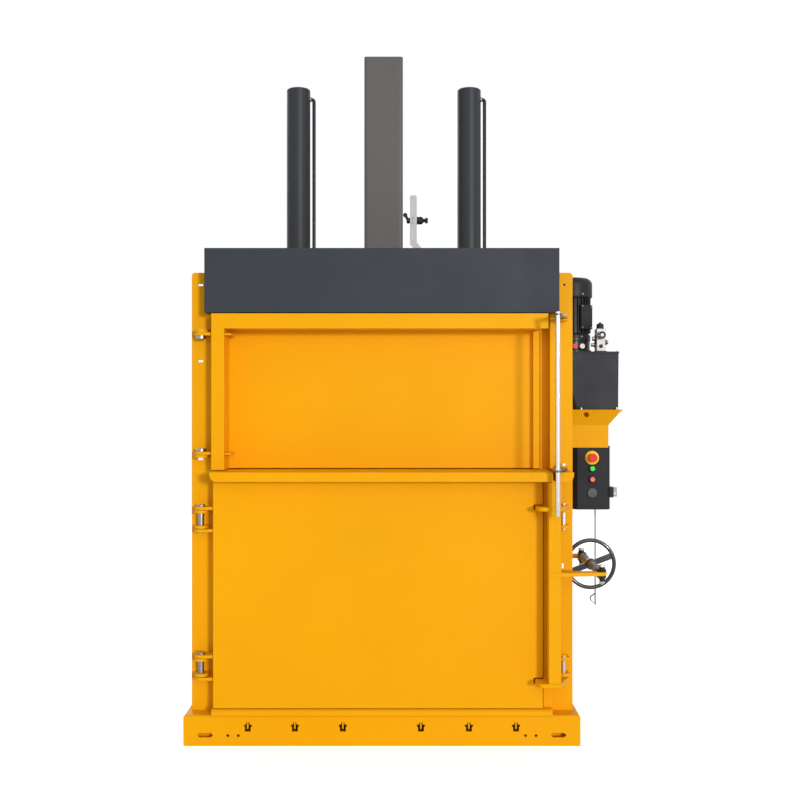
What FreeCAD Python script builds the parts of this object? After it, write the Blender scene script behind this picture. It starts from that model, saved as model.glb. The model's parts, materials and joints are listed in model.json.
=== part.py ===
import FreeCAD, Part
import math
import os
import Sketcher

# Vertical recycling baler with a loading hatch, a bale door, a screw lock on the door,
# a swing latch on the hatch, a press ram on two cylinders and a power unit on its side.
# Millimetres. X runs to the right, Y to the back and Z up. The origin is on the floor,
# midway between the columns and level with the front face of their flanges.

os.makedirs("parts", exist_ok=True)
doc = FreeCAD.newDocument("baler")
sheet = doc.addObject("Spreadsheet::Sheet", "Sizes")


class Size:
    """A length: its value now, and the sheet formula that it follows."""

    def __init__(self, value, formula):
        self.value = value
        self.formula = formula

    def joined(self, other, sign, value, swap=False):
        pair = (self.formula, as_size(other).formula)
        if swap:
            pair = (pair[1], pair[0])
        return Size(value, "(%s %s %s)" % (pair[0], sign, pair[1]))

    def __add__(self, other):
        return self.joined(other, "+", self.value + as_size(other).value)

    def __radd__(self, other):
        return self.joined(other, "+", as_size(other).value + self.value, True)

    def __sub__(self, other):
        return self.joined(other, "-", self.value - as_size(other).value)

    def __rsub__(self, other):
        return self.joined(other, "-", as_size(other).value - self.value, True)

    def __mul__(self, other):
        return self.joined(other, "*", self.value * as_size(other).value)

    def __rmul__(self, other):
        return self.joined(other, "*", as_size(other).value * self.value, True)

    def __truediv__(self, other):
        return self.joined(other, "/", self.value / as_size(other).value)

    def __neg__(self):
        return Size(-self.value, "(-1 * %s)" % self.formula)


def as_size(value):
    if isinstance(value, Size):
        return value
    return Size(float(value), "%.6f" % value)


class Sizes:
    """The driving dimensions: one named cell of the sheet each."""

    def __init__(self, values):
        for row, (name, value) in enumerate(values.items(), 1):
            sheet.set("A%d" % row, name)
            sheet.set("B%d" % row, str(value))
            sheet.setAlias("B%d" % row, name)
            setattr(self, name, Size(float(value), "Sizes.%s" % name))


SIZES = {
    # Base and columns
    "base_over": 19,
    "base_high": 125,
    "base_reach": 85,
    "base_depth": 1075,
    "base_wall": 8,
    "base_web": 12,
    "base_round": 9,
    "opening_half": 701,
    "flange_width": 94,
    "column_plate": 12,
    "column_high": 1825,
    "side_depth": 980,
    "corner_cut": 9,
    "jamb_wide": 34,
    "jamb_thick": 5,
    "jamb_gap": 1,
    "jamb_front": 50,
    "peep_long": 22,
    "peep_high": 9,
    "peep_in": 36,
    "peep_z_top": 1899,
    "peep_z_middle": 1581,
    "peep_z_bottom": 1172,
    "peep_z_right": 1900,
    "peep_x_right": 60,
    "slot_z_right": 725,
    "slot_x_right": 54,
    "chamber_rear_gap": 100,
    "rear_sheet": 8,
    "rear_rib": 60,
    "rear_rib_high": 90,
    "rear_rib_count": 4,
    "floor_thick": 25,
    "sill_reach": 92,
    "sill_side_gap": 2,
    "sill_round": 18,
    "channel_front": 72,
    # Strap channels, which line up in the base, the floor, the door and the press plate
    "strap_one": 160,
    "strap_two": 357,
    "strap_three": 550,
    "strap_channel": 30,
    "channel_deep": 12,
    "slot_low": 59,
    "slot_body": 24,
    "slot_wing": 34,
    "slot_tongue": 6,
    "slot_high": 38,
    "anchor_out": 24,
    "anchor_long": 64,
    "anchor_high": 18,
    "anchor_z": 44,
    "pin_hole_one": 589,
    "pin_hole_two": 632,
    "pin_hole_r": 5.5,
    "pin_hole_z": 42,
    # Head frame and its cover
    "head_low": 1800,
    "head_high": 230,
    "head_deep": 300,
    "head_web": 15,
    "head_plate": 20,
    "cover_over": 27,
    "cover_low": 1778,
    "cover_top": 2042,
    "cover_deep": 86,
    "cover_sheet": 4,
    "cover_bolt_r": 6,
    # Press: two cylinders, the mast between them and the press plate under both
    "ram_y": 470,
    "cylinder_x": 392,
    "barrel_r": 54,
    "bore_r": 45,
    "rod_r": 30,
    "cap_thick": 20,
    "boss_r": 12,
    "boss_high": 7,
    "pipe_r": 8,
    "pipe_reach": 17,
    "pipe_bend": 12,
    "port_drop": 45,
    "stroke": 850,
    "piston_high": 50,
    "gland_high": 40,
    "end_space": 65,
    "running_gap": 0.05,
    "mast_side": 175,
    "mast_wall": 8,
    "mast_round": 15,
    "mast_long": 1181,
    "guide_gap": 0.5,
    "guide_pad": 12,
    "guide_window": 26,
    "platen_low": 1712,
    "platen_high": 78,
    "platen_gap": 11,
    "platen_front": 75,
    "platen_rear_gap": 10,
    "platen_plate": 30,
    "platen_rib": 14,
    # Door and hatch: both swing on the left about the same line
    "hinge_out": 48,
    "hinge_y": 40,
    "hinge_pin_r": 12,
    "hinge_gap": 0.06,
    "hinge_eye_r": 28,
    "leaf_thick": 12,
    "door_hinge_gap": 8,
    "door_lock_gap": 40,
    "door_front": 80,
    "door_inner": 60,
    "door_gap": 3,
    "door_sheet": 6,
    "ledge_reach": 170,
    "ledge_low": 1089,
    "ledge_high": 38,
    "ledge_round": 28,
    "ledge_lock_gap": 11,
    "door_hinge_high": 926,
    "door_hinge_low": 315,
    "hinge_half": 52,
    "hinge_step": 2,
    "hatch_front": 85,
    "hatch_low": 1131,
    "hatch_top": 1774,
    "rail_high": 62,
    "stile_width": 53,
    "rail_lock_gap": 18,
    "hatch_recess": 140,
    "hatch_sheet": 6,
    "hatch_post": 27,
    "hatch_hinge_high": 1685,
    "hatch_hinge_low": 1193,
    "hatch_eye_gap": 1,
    # Lock of the door: bar on the right, drawn in by a screw with a hand wheel
    "lock_out": 50,
    "lock_y": 40,
    "lock_pin_r": 9.5,
    "lock_eye_r": 24,
    "lock_inner": 27,
    "lock_outer": 22,
    "lock_front": 168,
    "lock_back": 105,
    "lock_wall": 6,
    "claw_reach": 73,
    "claw_thick": 16,
    "claw_proud": 4,
    "claw_round": 28,
    "claw_top": 986,
    "claw_low": 259,
    "ear_thick": 14,
    "ear_step": 2,
    "ear_apart": 66,
    "notch_room": 3,
    "notch_side": 5,
    "screw_out": 181,
    "screw_z": 714,
    "screw_front": 130,
    "screw_back": 382,
    "arm_thick": 15,
    "pivot_room": 2,
    "fork_wide": 34,
    "fork_leg": 9,
    "fork_gap": 1.5,
    "fork_reach": 40,
    "screw_bolt_r": 8,
    "screw_r": 9,
    "sleeve_start": -40,
    "sleeve_long": 360,
    "sleeve_r": 17,
    "wheel_y": 140,
    "wheel_r": 101.5,
    "rim_r": 8.5,
    "spoke_wide": 25,
    "spoke_thick": 9,
    "hub_r": 24,
    "screw_end_room": 60,
    "lug_eye_r": 19,
    "spoke_tilt": 21,
    # Latch of the hatch
    "latch_out": 50,
    "latch_y": 40,
    "latch_pin_r": 8,
    "rod_out": 1,
    "rod_y": 225,
    "latch_rod_r": 9,
    "rod_top": 1769,
    "rod_low": 952,
    "latch_plate": 8,
    "latch_arm_high": 1755,
    "latch_arm_low": 1131,
    "collar_r": 11.5,
    "collar_high": 6,
    "console_inner": 2,
    "console_outer": 74,
    "latch_nose_in": 13,
    "latch_gap": 0.3,
    "latch_eye_r": 18,
    # Power unit
    "shelf_z": 1376,
    "shelf_front": 266,
    "shelf_wide": 343,
    "shelf_deep": 470,
    "shelf_sheet": 5,
    "apron_wide": 269,
    "apron_lap": 7,
    "apron_drop": 67,
    "tank_gap": 62,
    "tank_far": 334,
    "tank_front": 290,
    "tank_deep": 420,
    "tank_high": 250,
    "tank_draft": 2,
    "tank_taper": 78,
    "tank_bolt_in": 23,
    "tank_bolt_side": 12,
    "lid_rim": 2,
    "lid_thick": 8,
    "tank_round": 14,
    "motor_out": 149,
    "motor_y": 470,
    "motor_r": 88,
    "fin_count": 28,
    "fin_deep": 10,
    "fin_thick": 3.2,
    "motor_low": 1700,
    "motor_long": 197,
    "terminal_wide": 74,
    "terminal_high": 110,
    "terminal_up": 40,
    "terminal_turn": 50,
    "cowl_r": 95,
    "cowl_high": 87,
    "cowl_sheet": 3,
    "cowl_round": 32,
    "cowl_lap": 8,
    "flange_r": 87,
    "bell_r": 84,
    "fan_r": 76,
    # Valve block
    "valve_out": 269,
    "valve_y": 400,
    "valve_high": 106,
    # Control cabinet
    "cab_gap": 119,
    "cab_far": 279,
    "cab_clear": 1,
    "cab_deep": 250,
    "cab_low": 941,
    "cab_high": 277,
    "cab_bevel": 16,
    "cab_sheet": 2.5,
    "button_out": 199,
    "stop_z": 1167,
    "start_z": 1120,
    "reset_z": 1073,
    "buzzer_z": 1014,
    "stop_disc_r": 30,
    "stop_head_r": 19,
    "stem_r": 8,
    "bezel_r": 14.5,
    "cap_r": 11,
    "buzzer_r": 21,
    "stop_travel": 5,
    "button_travel": 3,
    "button_gap": 0.06,
    "tool_in": 110,
    "clip_high": 8,
    "tool_back": 95,
    "tool_low": 509,
    "switch_z": 1015,
    "switch_y": 240,
    "switch_side": 45,
    "switch_deep": 16,
    "handle_deep": 18,
    # Limit switch on the head
    "strip_x": 136,
    "strip_wide": 31,
    "strip_thick": 4,
    "strip_y": 470,
    "strip_top": 2360,
    "strip_bend": 2143,
    "strip_lean": 40,
    "strip_holes": 19,
    "strip_pitch": 10,
    "switch_mid": 2247,
    "switch_r": 17.5,
    "lever_x": 111,
    "lever_gap": 0.05,
    "roller_r": 10,
    "roller_x": 98.5,
    "roller_z": 2269,
    "roller_bore": 4,
}

d = Sizes(SIZES)

# Sizes that follow the faces of the two columns

inner_face = d.opening_half
outer_face = d.opening_half + d.column_plate
d.base_width = 2 * (inner_face + d.flange_width + d.base_over)
d.door_left = inner_face - d.door_hinge_gap
d.door_right = inner_face - d.door_lock_gap
d.ledge_right = inner_face - d.ledge_lock_gap
d.rail_right = inner_face - d.rail_lock_gap
d.claw_tip = inner_face - d.claw_reach
d.lock_left = inner_face - d.lock_inner
d.latch_nose = inner_face - d.latch_nose_in
d.lock_right = inner_face + d.lock_outer
d.hinge_x = inner_face + d.hinge_out
d.lock_x = inner_face + d.lock_out
d.latch_x = inner_face + d.latch_out
d.rod_x = inner_face + d.rod_out
d.console_left = inner_face + d.console_inner
d.console_right = inner_face + d.console_outer
d.cover_half = inner_face + d.cover_over
d.anchor_x = inner_face + d.anchor_out
d.screw_x = outer_face + d.screw_out
d.shelf_right = outer_face + d.shelf_wide
d.apron_right = outer_face + d.apron_wide
d.tank_left = outer_face + d.tank_gap
d.tank_right = outer_face + d.tank_far
d.motor_x = outer_face + d.motor_out
d.valve_x = outer_face + d.valve_out
d.cab_left = outer_face + d.cab_gap
d.cab_right = outer_face + d.cab_far
d.button_x = outer_face + d.button_out
d.chamber_back = d.side_depth - d.chamber_rear_gap
d.platen_back = d.chamber_back - d.platen_rear_gap
d.apron_low = d.cab_low + d.cab_high - d.apron_lap
d.cab_front = d.shelf_front - d.apron_drop + d.shelf_sheet + d.cab_clear


def mm(value):
    return as_size(value).value


def put_at(obj, x=0, y=0, z=0):
    """Places an object, with each coordinate bound to its sizes."""
    for axis, value in (("x", x), ("y", y), ("z", z)):
        obj.setExpression("Placement.Base.%s" % axis, as_size(value).formula)
    return obj


def bind(obj, prop, value):
    obj.setExpression(prop, as_size(value).formula)


# --- Sketches -------------------------------------------------------------------------

def fix_point(sk, geo, pos, x=None, y=None):
    """Ties a point of a sketch to its coordinates, or to an axis where one is zero."""
    for kind, axis, value in (("DistanceX", -2, x), ("DistanceY", -1, y)):
        if value is None:
            continue
        if not isinstance(value, Size) and value == 0:
            sk.addConstraint(Sketcher.Constraint("PointOnObject", geo, pos, axis))
            continue
        index = sk.addConstraint(Sketcher.Constraint(kind, -1, 1, geo, pos, mm(value)))
        sk.setExpression("Constraints[%d]" % index, as_size(value).formula)


def flat(x, y):
    return FreeCAD.Vector(mm(x), mm(y), 0)


def draw_polygon(sk, points):
    first = sk.GeometryCount
    count = len(points)
    for i in range(count):
        start = flat(*points[i])
        end = flat(*points[(i + 1) % count])
        sk.addGeometry(Part.LineSegment(start, end), False)
    for i in range(count):
        following = first + (i + 1) % count
        sk.addConstraint(Sketcher.Constraint("Coincident", first + i, 2, following, 1))
    for i in range(count):
        fix_point(sk, first + i, 1, *points[i])


def draw_circle(sk, x, y, radius):
    geo = sk.addGeometry(Part.Circle(flat(x, y), FreeCAD.Vector(0, 0, 1), mm(radius)), False)
    fix_point(sk, geo, 3, x, y)
    index = sk.addConstraint(Sketcher.Constraint("Radius", geo, mm(radius)))
    sk.setExpression("Constraints[%d]" % index, as_size(radius).formula)


def end_of(step):
    return (step[1], step[2]) if step[0] == "to" else (step[3], step[4])


def draw_path(sk, start, steps):
    """A closed outline of lines ("to", x, y) and arcs ("turn", centre x, y, end x, y, left)."""
    first = sk.GeometryCount
    here = start
    for step in steps:
        if step[0] == "to":
            there = (step[1], step[2])
            sk.addGeometry(Part.LineSegment(flat(*here), flat(*there)), False)
        else:
            there = (step[3], step[4])
            centre = flat(step[1], step[2])
            radius = flat(*here).distanceToPoint(centre)
            circle = Part.Circle(centre, FreeCAD.Vector(0, 0, 1), radius)
            a = math.atan2(mm(here[1]) - centre.y, mm(here[0]) - centre.x)
            b = math.atan2(mm(there[1]) - centre.y, mm(there[0]) - centre.x)
            if not step[5]:
                a, b = b, a
            if b <= a:
                b += 2 * math.pi
            sk.addGeometry(Part.ArcOfCircle(circle, a, b), False)
        here = there
    count = len(steps)
    for i in range(count):
        step = steps[i]
        following = steps[(i + 1) % count]
        end_pos = 2 if step[0] == "to" or step[5] else 1
        next_pos = 1 if following[0] == "to" or following[5] else 2
        sk.addConstraint(Sketcher.Constraint(
            "Coincident", first + i, end_pos, first + (i + 1) % count, next_pos))
    fix_point(sk, first, 1 if steps[0][0] == "to" or steps[0][5] else 2, *start)
    for i in range(count):
        step = steps[i]
        if step[0] == "to":
            if i < count - 1:
                fix_point(sk, first + i, 2, step[1], step[2])
            continue
        if i == count - 1:
            chord = flat(*start) - flat(*end_of(steps[i - 1]))
            if abs(chord.y) > abs(chord.x):
                fix_point(sk, first + i, 3, x=step[1])
            else:
                fix_point(sk, first + i, 3, y=step[2])
            continue
        fix_point(sk, first + i, 3, step[1], step[2])
        end_pos = 2 if step[5] else 1
        across = abs(mm(step[3]) - mm(step[1]))
        along = abs(mm(step[4]) - mm(step[2]))
        if across > along:
            fix_point(sk, first + i, end_pos, y=step[4])
        else:
            fix_point(sk, first + i, end_pos, x=step[3])


def new_body(name):
    return doc.addObject("PartDesign::Body", name)


def new_sketch(body, plane, name):
    """A sketch on one of the body's own origin planes: XY, XZ or YZ."""
    sk = body.newObject("Sketcher::SketchObject", name)
    for feature in body.Origin.OriginFeatures:
        if feature.Role == plane + "_Plane":
            sk.AttachmentSupport = [(feature, "")]
    sk.MapMode = "FlatFace"
    return sk


class Piece:
    """One body that is built up feature by feature."""

    def __init__(self, name):
        self.name = name
        self.body = new_body(name)
        self.count = 0

    def sketch(self, plane):
        self.count += 1
        return new_sketch(self.body, plane, "%s_sketch%d" % (self.name, self.count))

    def feature(self, kind, label):
        return self.body.newObject("PartDesign::" + kind, "%s_%s%d" % (self.name, label, self.count))

    def pad(self, plane, draw, length, offset=None):
        """Adds the drawn outline: up from XY, to the back from XZ, to the right from YZ."""
        sk = self.sketch(plane)
        draw(sk)
        if offset is not None:
            bind(sk, "AttachmentOffset.Base.z", -offset if plane == "XZ" else offset)
        feature = self.feature("Pad", "pad")
        feature.Profile = sk
        feature.Reversed = plane == "XZ"
        bind(feature, "Length", length)
        return feature

    def cut(self, plane, draw, length, offset=None):
        """Cuts the drawn outline away, in the same direction as pad."""
        sk = self.sketch(plane)
        draw(sk)
        if offset is not None:
            bind(sk, "AttachmentOffset.Base.z", -offset if plane == "XZ" else offset)
        doc.recompute()
        before = self.body.Shape.Volume
        feature = self.feature("Pocket", "pocket")
        feature.Profile = sk
        feature.Reversed = plane != "XZ"
        bind(feature, "Length", length)
        doc.recompute()
        if not self.body.Shape.Volume < before:
            raise RuntimeError("%s: a pocket cuts nothing" % self.name)
        return feature

    def spin(self, plane, draw, axis="V_Axis"):
        sk = self.sketch(plane)
        draw(sk)
        feature = self.feature("Revolution", "turn")
        feature.Profile = sk
        feature.ReferenceAxis = (sk, [axis])
        feature.Angle = 360
        return feature

    def around(self, feature, count):
        """Repeats a feature around the body's Z axis."""
        pattern = self.feature("PolarPattern", "around")
        pattern.Originals = [feature]
        for axis in self.body.Origin.OriginFeatures:
            if axis.Role == "Z_Axis":
                pattern.Axis = (axis, [""])
        pattern.Angle = 360
        bind(pattern, "Occurrences", count)
        self.body.Tip = pattern
        return pattern

    def fillet(self, chosen, radius, kind="Fillet"):
        """Rounds (or chamfers) those edges of the body for which chosen(edge) is true."""
        doc.recompute()
        base = self.body.Tip
        names = []
        for i, edge in enumerate(base.Shape.Edges):
            if chosen(edge):
                names.append("Edge%d" % (i + 1))
        feature = self.feature(kind, kind.lower())
        feature.Base = (base, names)
        bind(feature, "Radius" if kind == "Fillet" else "Size", radius)
        return feature


def rectangle(x1, y1, x2, y2):
    def draw(sk):
        draw_polygon(sk, [(x1, y1), (x2, y1), (x2, y2), (x1, y2)])
    return draw


def polygon(points):
    def draw(sk):
        draw_polygon(sk, points)
    return draw


def circle(x, y, radius):
    def draw(sk):
        draw_circle(sk, x, y, radius)
    return draw


def path(start, steps):
    def draw(sk):
        draw_path(sk, start, steps)
    return draw


def together(*draws):
    def draw(sk):
        for one in draws:
            one(sk)
    return draw


# --- Part primitives ------------------------------------------------------------------

def box(name, x, y, z, dx, dy, dz):
    obj = doc.addObject("Part::Box", name)
    bind(obj, "Length", dx)
    bind(obj, "Width", dy)
    bind(obj, "Height", dz)
    return put_at(obj, x, y, z)


TURNS = {
    "z": FreeCAD.Rotation(0, 0, 0),
    "x": FreeCAD.Rotation(FreeCAD.Vector(0, 1, 0), 90),
    "y": FreeCAD.Rotation(FreeCAD.Vector(1, 0, 0), -90),
}


def cylinder(name, x, y, z, radius, length, along="z"):
    obj = doc.addObject("Part::Cylinder", name)
    bind(obj, "Radius", radius)
    bind(obj, "Height", length)
    obj.Placement.Rotation = TURNS[along]
    return put_at(obj, x, y, z)


def cut(name, base, *tools):
    obj = doc.addObject("Part::Cut", name)
    obj.Base = base
    obj.Tool = tools[0] if len(tools) == 1 else fuse(name + "_tools", *tools)
    return obj


def fuse(name, *shapes):
    obj = doc.addObject("Part::MultiFuse", name)
    obj.Shapes = list(shapes)
    obj.Refine = True
    return obj


def group(name, members):
    """Identical pieces that share a node, each a solid of its own."""
    obj = doc.addObject("Part::Compound", name)
    obj.Links = list(members)
    return obj


NODES = []


def node(obj, label):
    if isinstance(obj, Piece):
        obj = obj.body
    obj.Label = label
    NODES.append(obj)
    return obj


def upright(edge):
    return abs(edge.tangentAt(edge.FirstParameter).z) > 0.99


def edge_low(edge):
    return edge.BoundBox.ZMin


# --- Places that several pieces share -------------------------------------------------

column_out = d.opening_half + d.flange_width
column_top = d.base_high + d.column_high
floor_top = d.base_high + d.floor_thick
head_top = d.head_low + d.head_high
head_front = d.ram_y - d.head_deep / 2
head_back = d.ram_y + d.head_deep / 2
barrel_low = d.head_low + d.head_plate
barrel_bore = d.gland_high + d.stroke + d.piston_high + d.end_space
barrel_top = barrel_low + barrel_bore + d.cap_thick
platen_top = d.platen_low + d.platen_high
ledge_top = d.ledge_low + d.ledge_high
strap_places = [d.strap_one, d.strap_two, d.strap_three]
strap_lines = [-x for x in reversed(strap_places)] + strap_places


# --- Base, floor, columns and walls ---------------------------------------------------

def base_frame():
    piece = Piece("base_frame")
    half = d.base_width / 2
    piece.pad("XY", rectangle(-half, 0, half, d.base_depth), d.base_high)
    inner = half - d.base_wall
    web = d.base_reach - d.base_web / 2
    piece.cut("XY", together(
        rectangle(-inner, d.base_wall, inner, web),
        rectangle(-inner, web + d.base_web, inner, d.base_depth - d.base_wall)),
        d.base_high - d.base_wall)

    def outer_top(edge):
        return edge.BoundBox.ZMin > mm(d.base_high) - 0.01

    piece.fillet(outer_top, d.base_round)
    body_half = d.slot_body / 2
    wing_half = d.slot_wing / 2
    tongue_half = d.slot_tongue / 2
    horn = tongue_half + 3
    low = d.slot_low
    crowns = []
    for x in strap_lines:
        crowns.append(polygon([
            (x - body_half, low), (x + body_half, low), (x + body_half, low + 17),
            (x + wing_half, low + 23), (x + wing_half, low + 28), (x + horn + 2, low + 28),
            (x + horn, low + d.slot_high), (x + tongue_half, low + d.slot_high),
            (x + tongue_half, low + 11), (x - tongue_half, low + 11),
            (x - tongue_half, low + d.slot_high), (x - horn, low + d.slot_high),
            (x - horn - 2, low + 28), (x - wing_half, low + 28), (x - wing_half, low + 23),
            (x - body_half, low + 17)]))
    piece.cut("XZ", together(*crowns), d.base_wall)
    half_long = d.anchor_long / 2
    half_high = d.anchor_high / 2
    others = []
    for side in (-1, 1):
        x = d.anchor_x * side
        others.append(polygon([
            (x - half_long, d.anchor_z), (x - half_long + half_high, d.anchor_z - half_high),
            (x + half_long - half_high, d.anchor_z - half_high), (x + half_long, d.anchor_z),
            (x + half_long - half_high, d.anchor_z + half_high),
            (x - half_long + half_high, d.anchor_z + half_high)]))
        for hole_x in (d.pin_hole_one, d.pin_hole_two):
            others.append(circle(hole_x * side, d.pin_hole_z, d.pin_hole_r))
    piece.cut("XZ", together(*others), d.base_wall)
    put_at(piece.body, 0, -d.base_reach, 0)
    node(piece, "base_frame")


def chamber_floor():
    piece = Piece("chamber_floor")
    half = d.opening_half - d.sill_side_gap
    piece.pad("XY", rectangle(-half, -d.sill_reach, half, d.chamber_back), d.floor_thick)
    channels = []
    for x in strap_lines:
        channels.append(rectangle(x - d.strap_channel / 2, -d.channel_front,
                                  x + d.strap_channel / 2, d.chamber_back))
    piece.cut("XY", together(*channels), d.channel_deep, d.floor_thick - d.channel_deep)

    def front_top(edge):
        box_of = edge.BoundBox
        return box_of.ZMin > mm(d.floor_thick) - 0.01 and box_of.YMax < -mm(d.sill_reach) + 0.01

    piece.fillet(front_top, d.sill_round)
    put_at(piece.body, 0, 0, d.base_high)
    node(piece, "chamber_floor")


def side_frame(side, label, slots):
    """A column: front flange, chamber wall and rear flange, folded from one plate."""
    piece = Piece(label + "_plate")
    near = d.opening_half * side
    wall = (d.opening_half + d.column_plate) * side
    far = column_out * side
    back = d.side_depth - d.column_plate
    piece.pad("XY", polygon([
        (near, 0), (far, 0), (far, d.column_plate), (wall, d.column_plate), (wall, back),
        (far, back), (far, d.side_depth), (near, d.side_depth)]), d.column_high)
    holes = []
    for x, z, wide, high in slots:
        z = z - d.base_high
        holes.append(rectangle(x * side - wide / 2, z - high / 2, x * side + wide / 2, z + high / 2))
    piece.cut("XZ", together(*holes), d.column_plate)

    def outer_corner(edge):
        return edge_low(edge) > mm(d.column_high) - 0.01 and abs(edge.BoundBox.XMin) > mm(column_out) - 0.01 \
            and edge.BoundBox.YLength < mm(d.column_plate) + 0.1 and edge.BoundBox.XLength < 0.01

    piece.fillet(outer_corner, d.corner_cut, "Chamfer")
    put_at(piece.body, 0, 0, d.base_high)
    if side > 0:
        thick = d.jamb_thick
        rest = d.ledge_low - 4 * d.jamb_gap
        jamb = Piece("door_jamb")
        jamb.pad("XY", polygon([
            (near - d.jamb_wide, -d.jamb_front), (near, -d.jamb_front), (near, d.door_inner),
            (near - thick, d.door_inner), (near - thick, thick - d.jamb_front),
            (near - d.jamb_wide, thick - d.jamb_front)]), rest - floor_top)
        put_at(jamb.body, 0, 0, floor_top)
        strip = box("hatch_jamb", near - d.jamb_wide, d.door_inner + d.jamb_gap, rest,
                    d.jamb_wide, thick, d.hatch_top - rest)
        node(group(label + "_jambed", [piece.body, jamb.body, strip]), label)
        return
    node(piece, label)


def rear_wall():
    piece = Piece("rear_sheet")
    low = d.base_high
    top = column_top - d.base_high
    half = d.opening_half
    piece.pad("XZ", rectangle(-half, 0, half, top), d.rear_sheet)
    put_at(piece.body, 0, d.chamber_back, low)
    ribs = []
    rib_back = d.side_depth - d.column_plate - d.chamber_back - d.rear_sheet
    places = SIZES["rear_rib_count"]
    for i in range(places):
        rib = Piece("rear_rib%d" % i)
        outer = d.rear_rib_high
        inner_low = d.rear_sheet
        rib.pad("YZ", polygon([
            (0, 0), (rib_back, inner_low), (rib_back, outer - inner_low), (0, outer),
            (0, outer - inner_low), (rib_back - inner_low, outer - 2 * inner_low),
            (rib_back - inner_low, 2 * inner_low), (0, inner_low)]), 2 * half)
        z = low + d.rear_rib_high + (top - d.rear_rib_high * 2) * (i / places)
        put_at(rib.body, -half, d.chamber_back + d.rear_sheet, z)
        ribs.append(rib.body)
    node(group("rear_wall_ribbed", [piece.body] + ribs), "rear_wall")


# --- Head frame, cover and guides -----------------------------------------------------

def head_frame():
    piece = Piece("head_frame")
    half = d.opening_half
    web = d.head_web
    plate = d.head_plate
    piece.pad("XY", rectangle(-half, 0, half, d.head_deep), d.head_high)
    piece.cut("YZ", rectangle(web, plate, d.head_deep - web, d.head_high - plate), 2 * half, -half)
    centre = d.head_deep / 2
    window = d.mast_side / 2 + d.guide_window / 2
    rod_holes = together(
        circle(-d.cylinder_x, centre, d.rod_r + 2), circle(d.cylinder_x, centre, d.rod_r + 2),
        rectangle(-window, centre - window, window, centre + window))
    piece.cut("XY", rod_holes, plate)
    barrel_holes = together(
        circle(-d.cylinder_x, centre, d.barrel_r), circle(d.cylinder_x, centre, d.barrel_r),
        rectangle(-window, centre - window, window, centre + window))
    piece.cut("XY", barrel_holes, plate, d.head_high - plate)
    put_at(piece.body, 0, head_front, d.head_low)
    node(piece, "head_frame")


def head_cover():
    """A folded front cover with returns on all four sides, screwed to the columns."""
    piece = Piece("cover_pan")
    half = d.cover_half
    high = d.cover_top - d.cover_low
    skin = d.cover_sheet
    piece.pad("XZ", rectangle(-half, 0, half, high), d.cover_deep)
    piece.cut("XZ", rectangle(skin - half, skin, half - skin, high - skin), d.cover_deep - skin, skin)
    put_at(piece.body, 0, -d.cover_deep, d.cover_low)
    tabs = []
    bolts = []
    tab_wide = 24
    tab_high = 40
    for side in (-1, 1):
        for z in (d.cover_low + 40, column_top - 60):
            x = (d.cover_half - d.cover_sheet) * side
            left = x if side < 0 else x - tab_wide
            name = "cover_tab_%s_%d" % ("left" if side < 0 else "right", len(tabs))
            tabs.append(box(name, left, -d.cover_sheet, z, tab_wide, d.cover_sheet, tab_high))
            middle = left + tab_wide / 2
            bolts.append(cylinder(name + "_bolt", middle, -d.cover_sheet - 6, z + tab_high / 2,
                                  d.cover_bolt_r, 6, "y"))
    node(fuse("cover_tabbed", piece.body, *tabs), "head_cover")
    return bolts


def mast_guides():
    pads = []
    reach = d.mast_side / 2 + d.guide_gap
    window = d.mast_side / 2 + d.guide_window / 2
    wide = d.mast_side - 30
    thick = window - reach
    low = head_top - d.head_plate - 20
    high = d.head_plate + 32
    for i, (dx, dy) in enumerate(((1, 0), (-1, 0), (0, 1), (0, -1))):
        if dx:
            x = reach if dx > 0 else -reach - thick
            pads.append(box("guide%d" % i, x, d.ram_y - wide / 2, low, thick, wide, high))
        else:
            y = d.ram_y + reach if dy > 0 else d.ram_y - reach - thick
            pads.append(box("guide%d" % i, -wide / 2, y, low, wide, thick, high))
    node(group("mast_guides", pads), "mast_guides")


# --- Cylinders, rods, mast and press plate --------------------------------------------

def cylinders():
    """Both cylinders: barrels with their glands, and rods with their piston heads."""
    barrels = []
    rods = []
    full = barrel_bore + d.cap_thick
    up_piston = barrel_low + d.gland_high + d.stroke
    piston_low = up_piston - platen_top
    piston_r = d.bore_r - d.running_gap
    foot = 8
    for side, tag in ((-1, "_left"), (1, "_right")):
        x = d.cylinder_x * side
        barrel = Piece("barrel" + tag)
        barrel.spin("XZ", polygon([
            (d.bore_r, 0), (d.barrel_r, 0), (d.barrel_r, full - 5), (d.barrel_r - 5, full),
            (d.boss_r, full), (d.boss_r, full + d.boss_high), (0, full + d.boss_high),
            (0, barrel_bore), (d.bore_r, barrel_bore)]))
        put_at(barrel.body, x, d.ram_y, barrel_low)
        barrels.append(barrel.body)
        gland = Piece("gland" + tag)
        gland.spin("XZ", rectangle(d.rod_r + d.running_gap, 0, d.bore_r, d.gland_high))
        put_at(gland.body, x, d.ram_y, barrel_low)
        barrels.append(gland.body)
        rod = Piece("rod" + tag)
        rod.spin("XZ", polygon([
            (0, 0), (d.rod_r + 15, 0), (d.rod_r + 15, foot), (d.rod_r, foot), (d.rod_r, piston_low),
            (piston_r, piston_low), (piston_r, piston_low + d.piston_high),
            (0, piston_low + d.piston_high)]))
        put_at(rod.body, x, d.ram_y, platen_top)
        rods.append(rod.body)
    node(group("cylinder_barrels", barrels), "cylinder_barrels")
    node(group("cylinder_rods", rods), "cylinder_rods")


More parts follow.
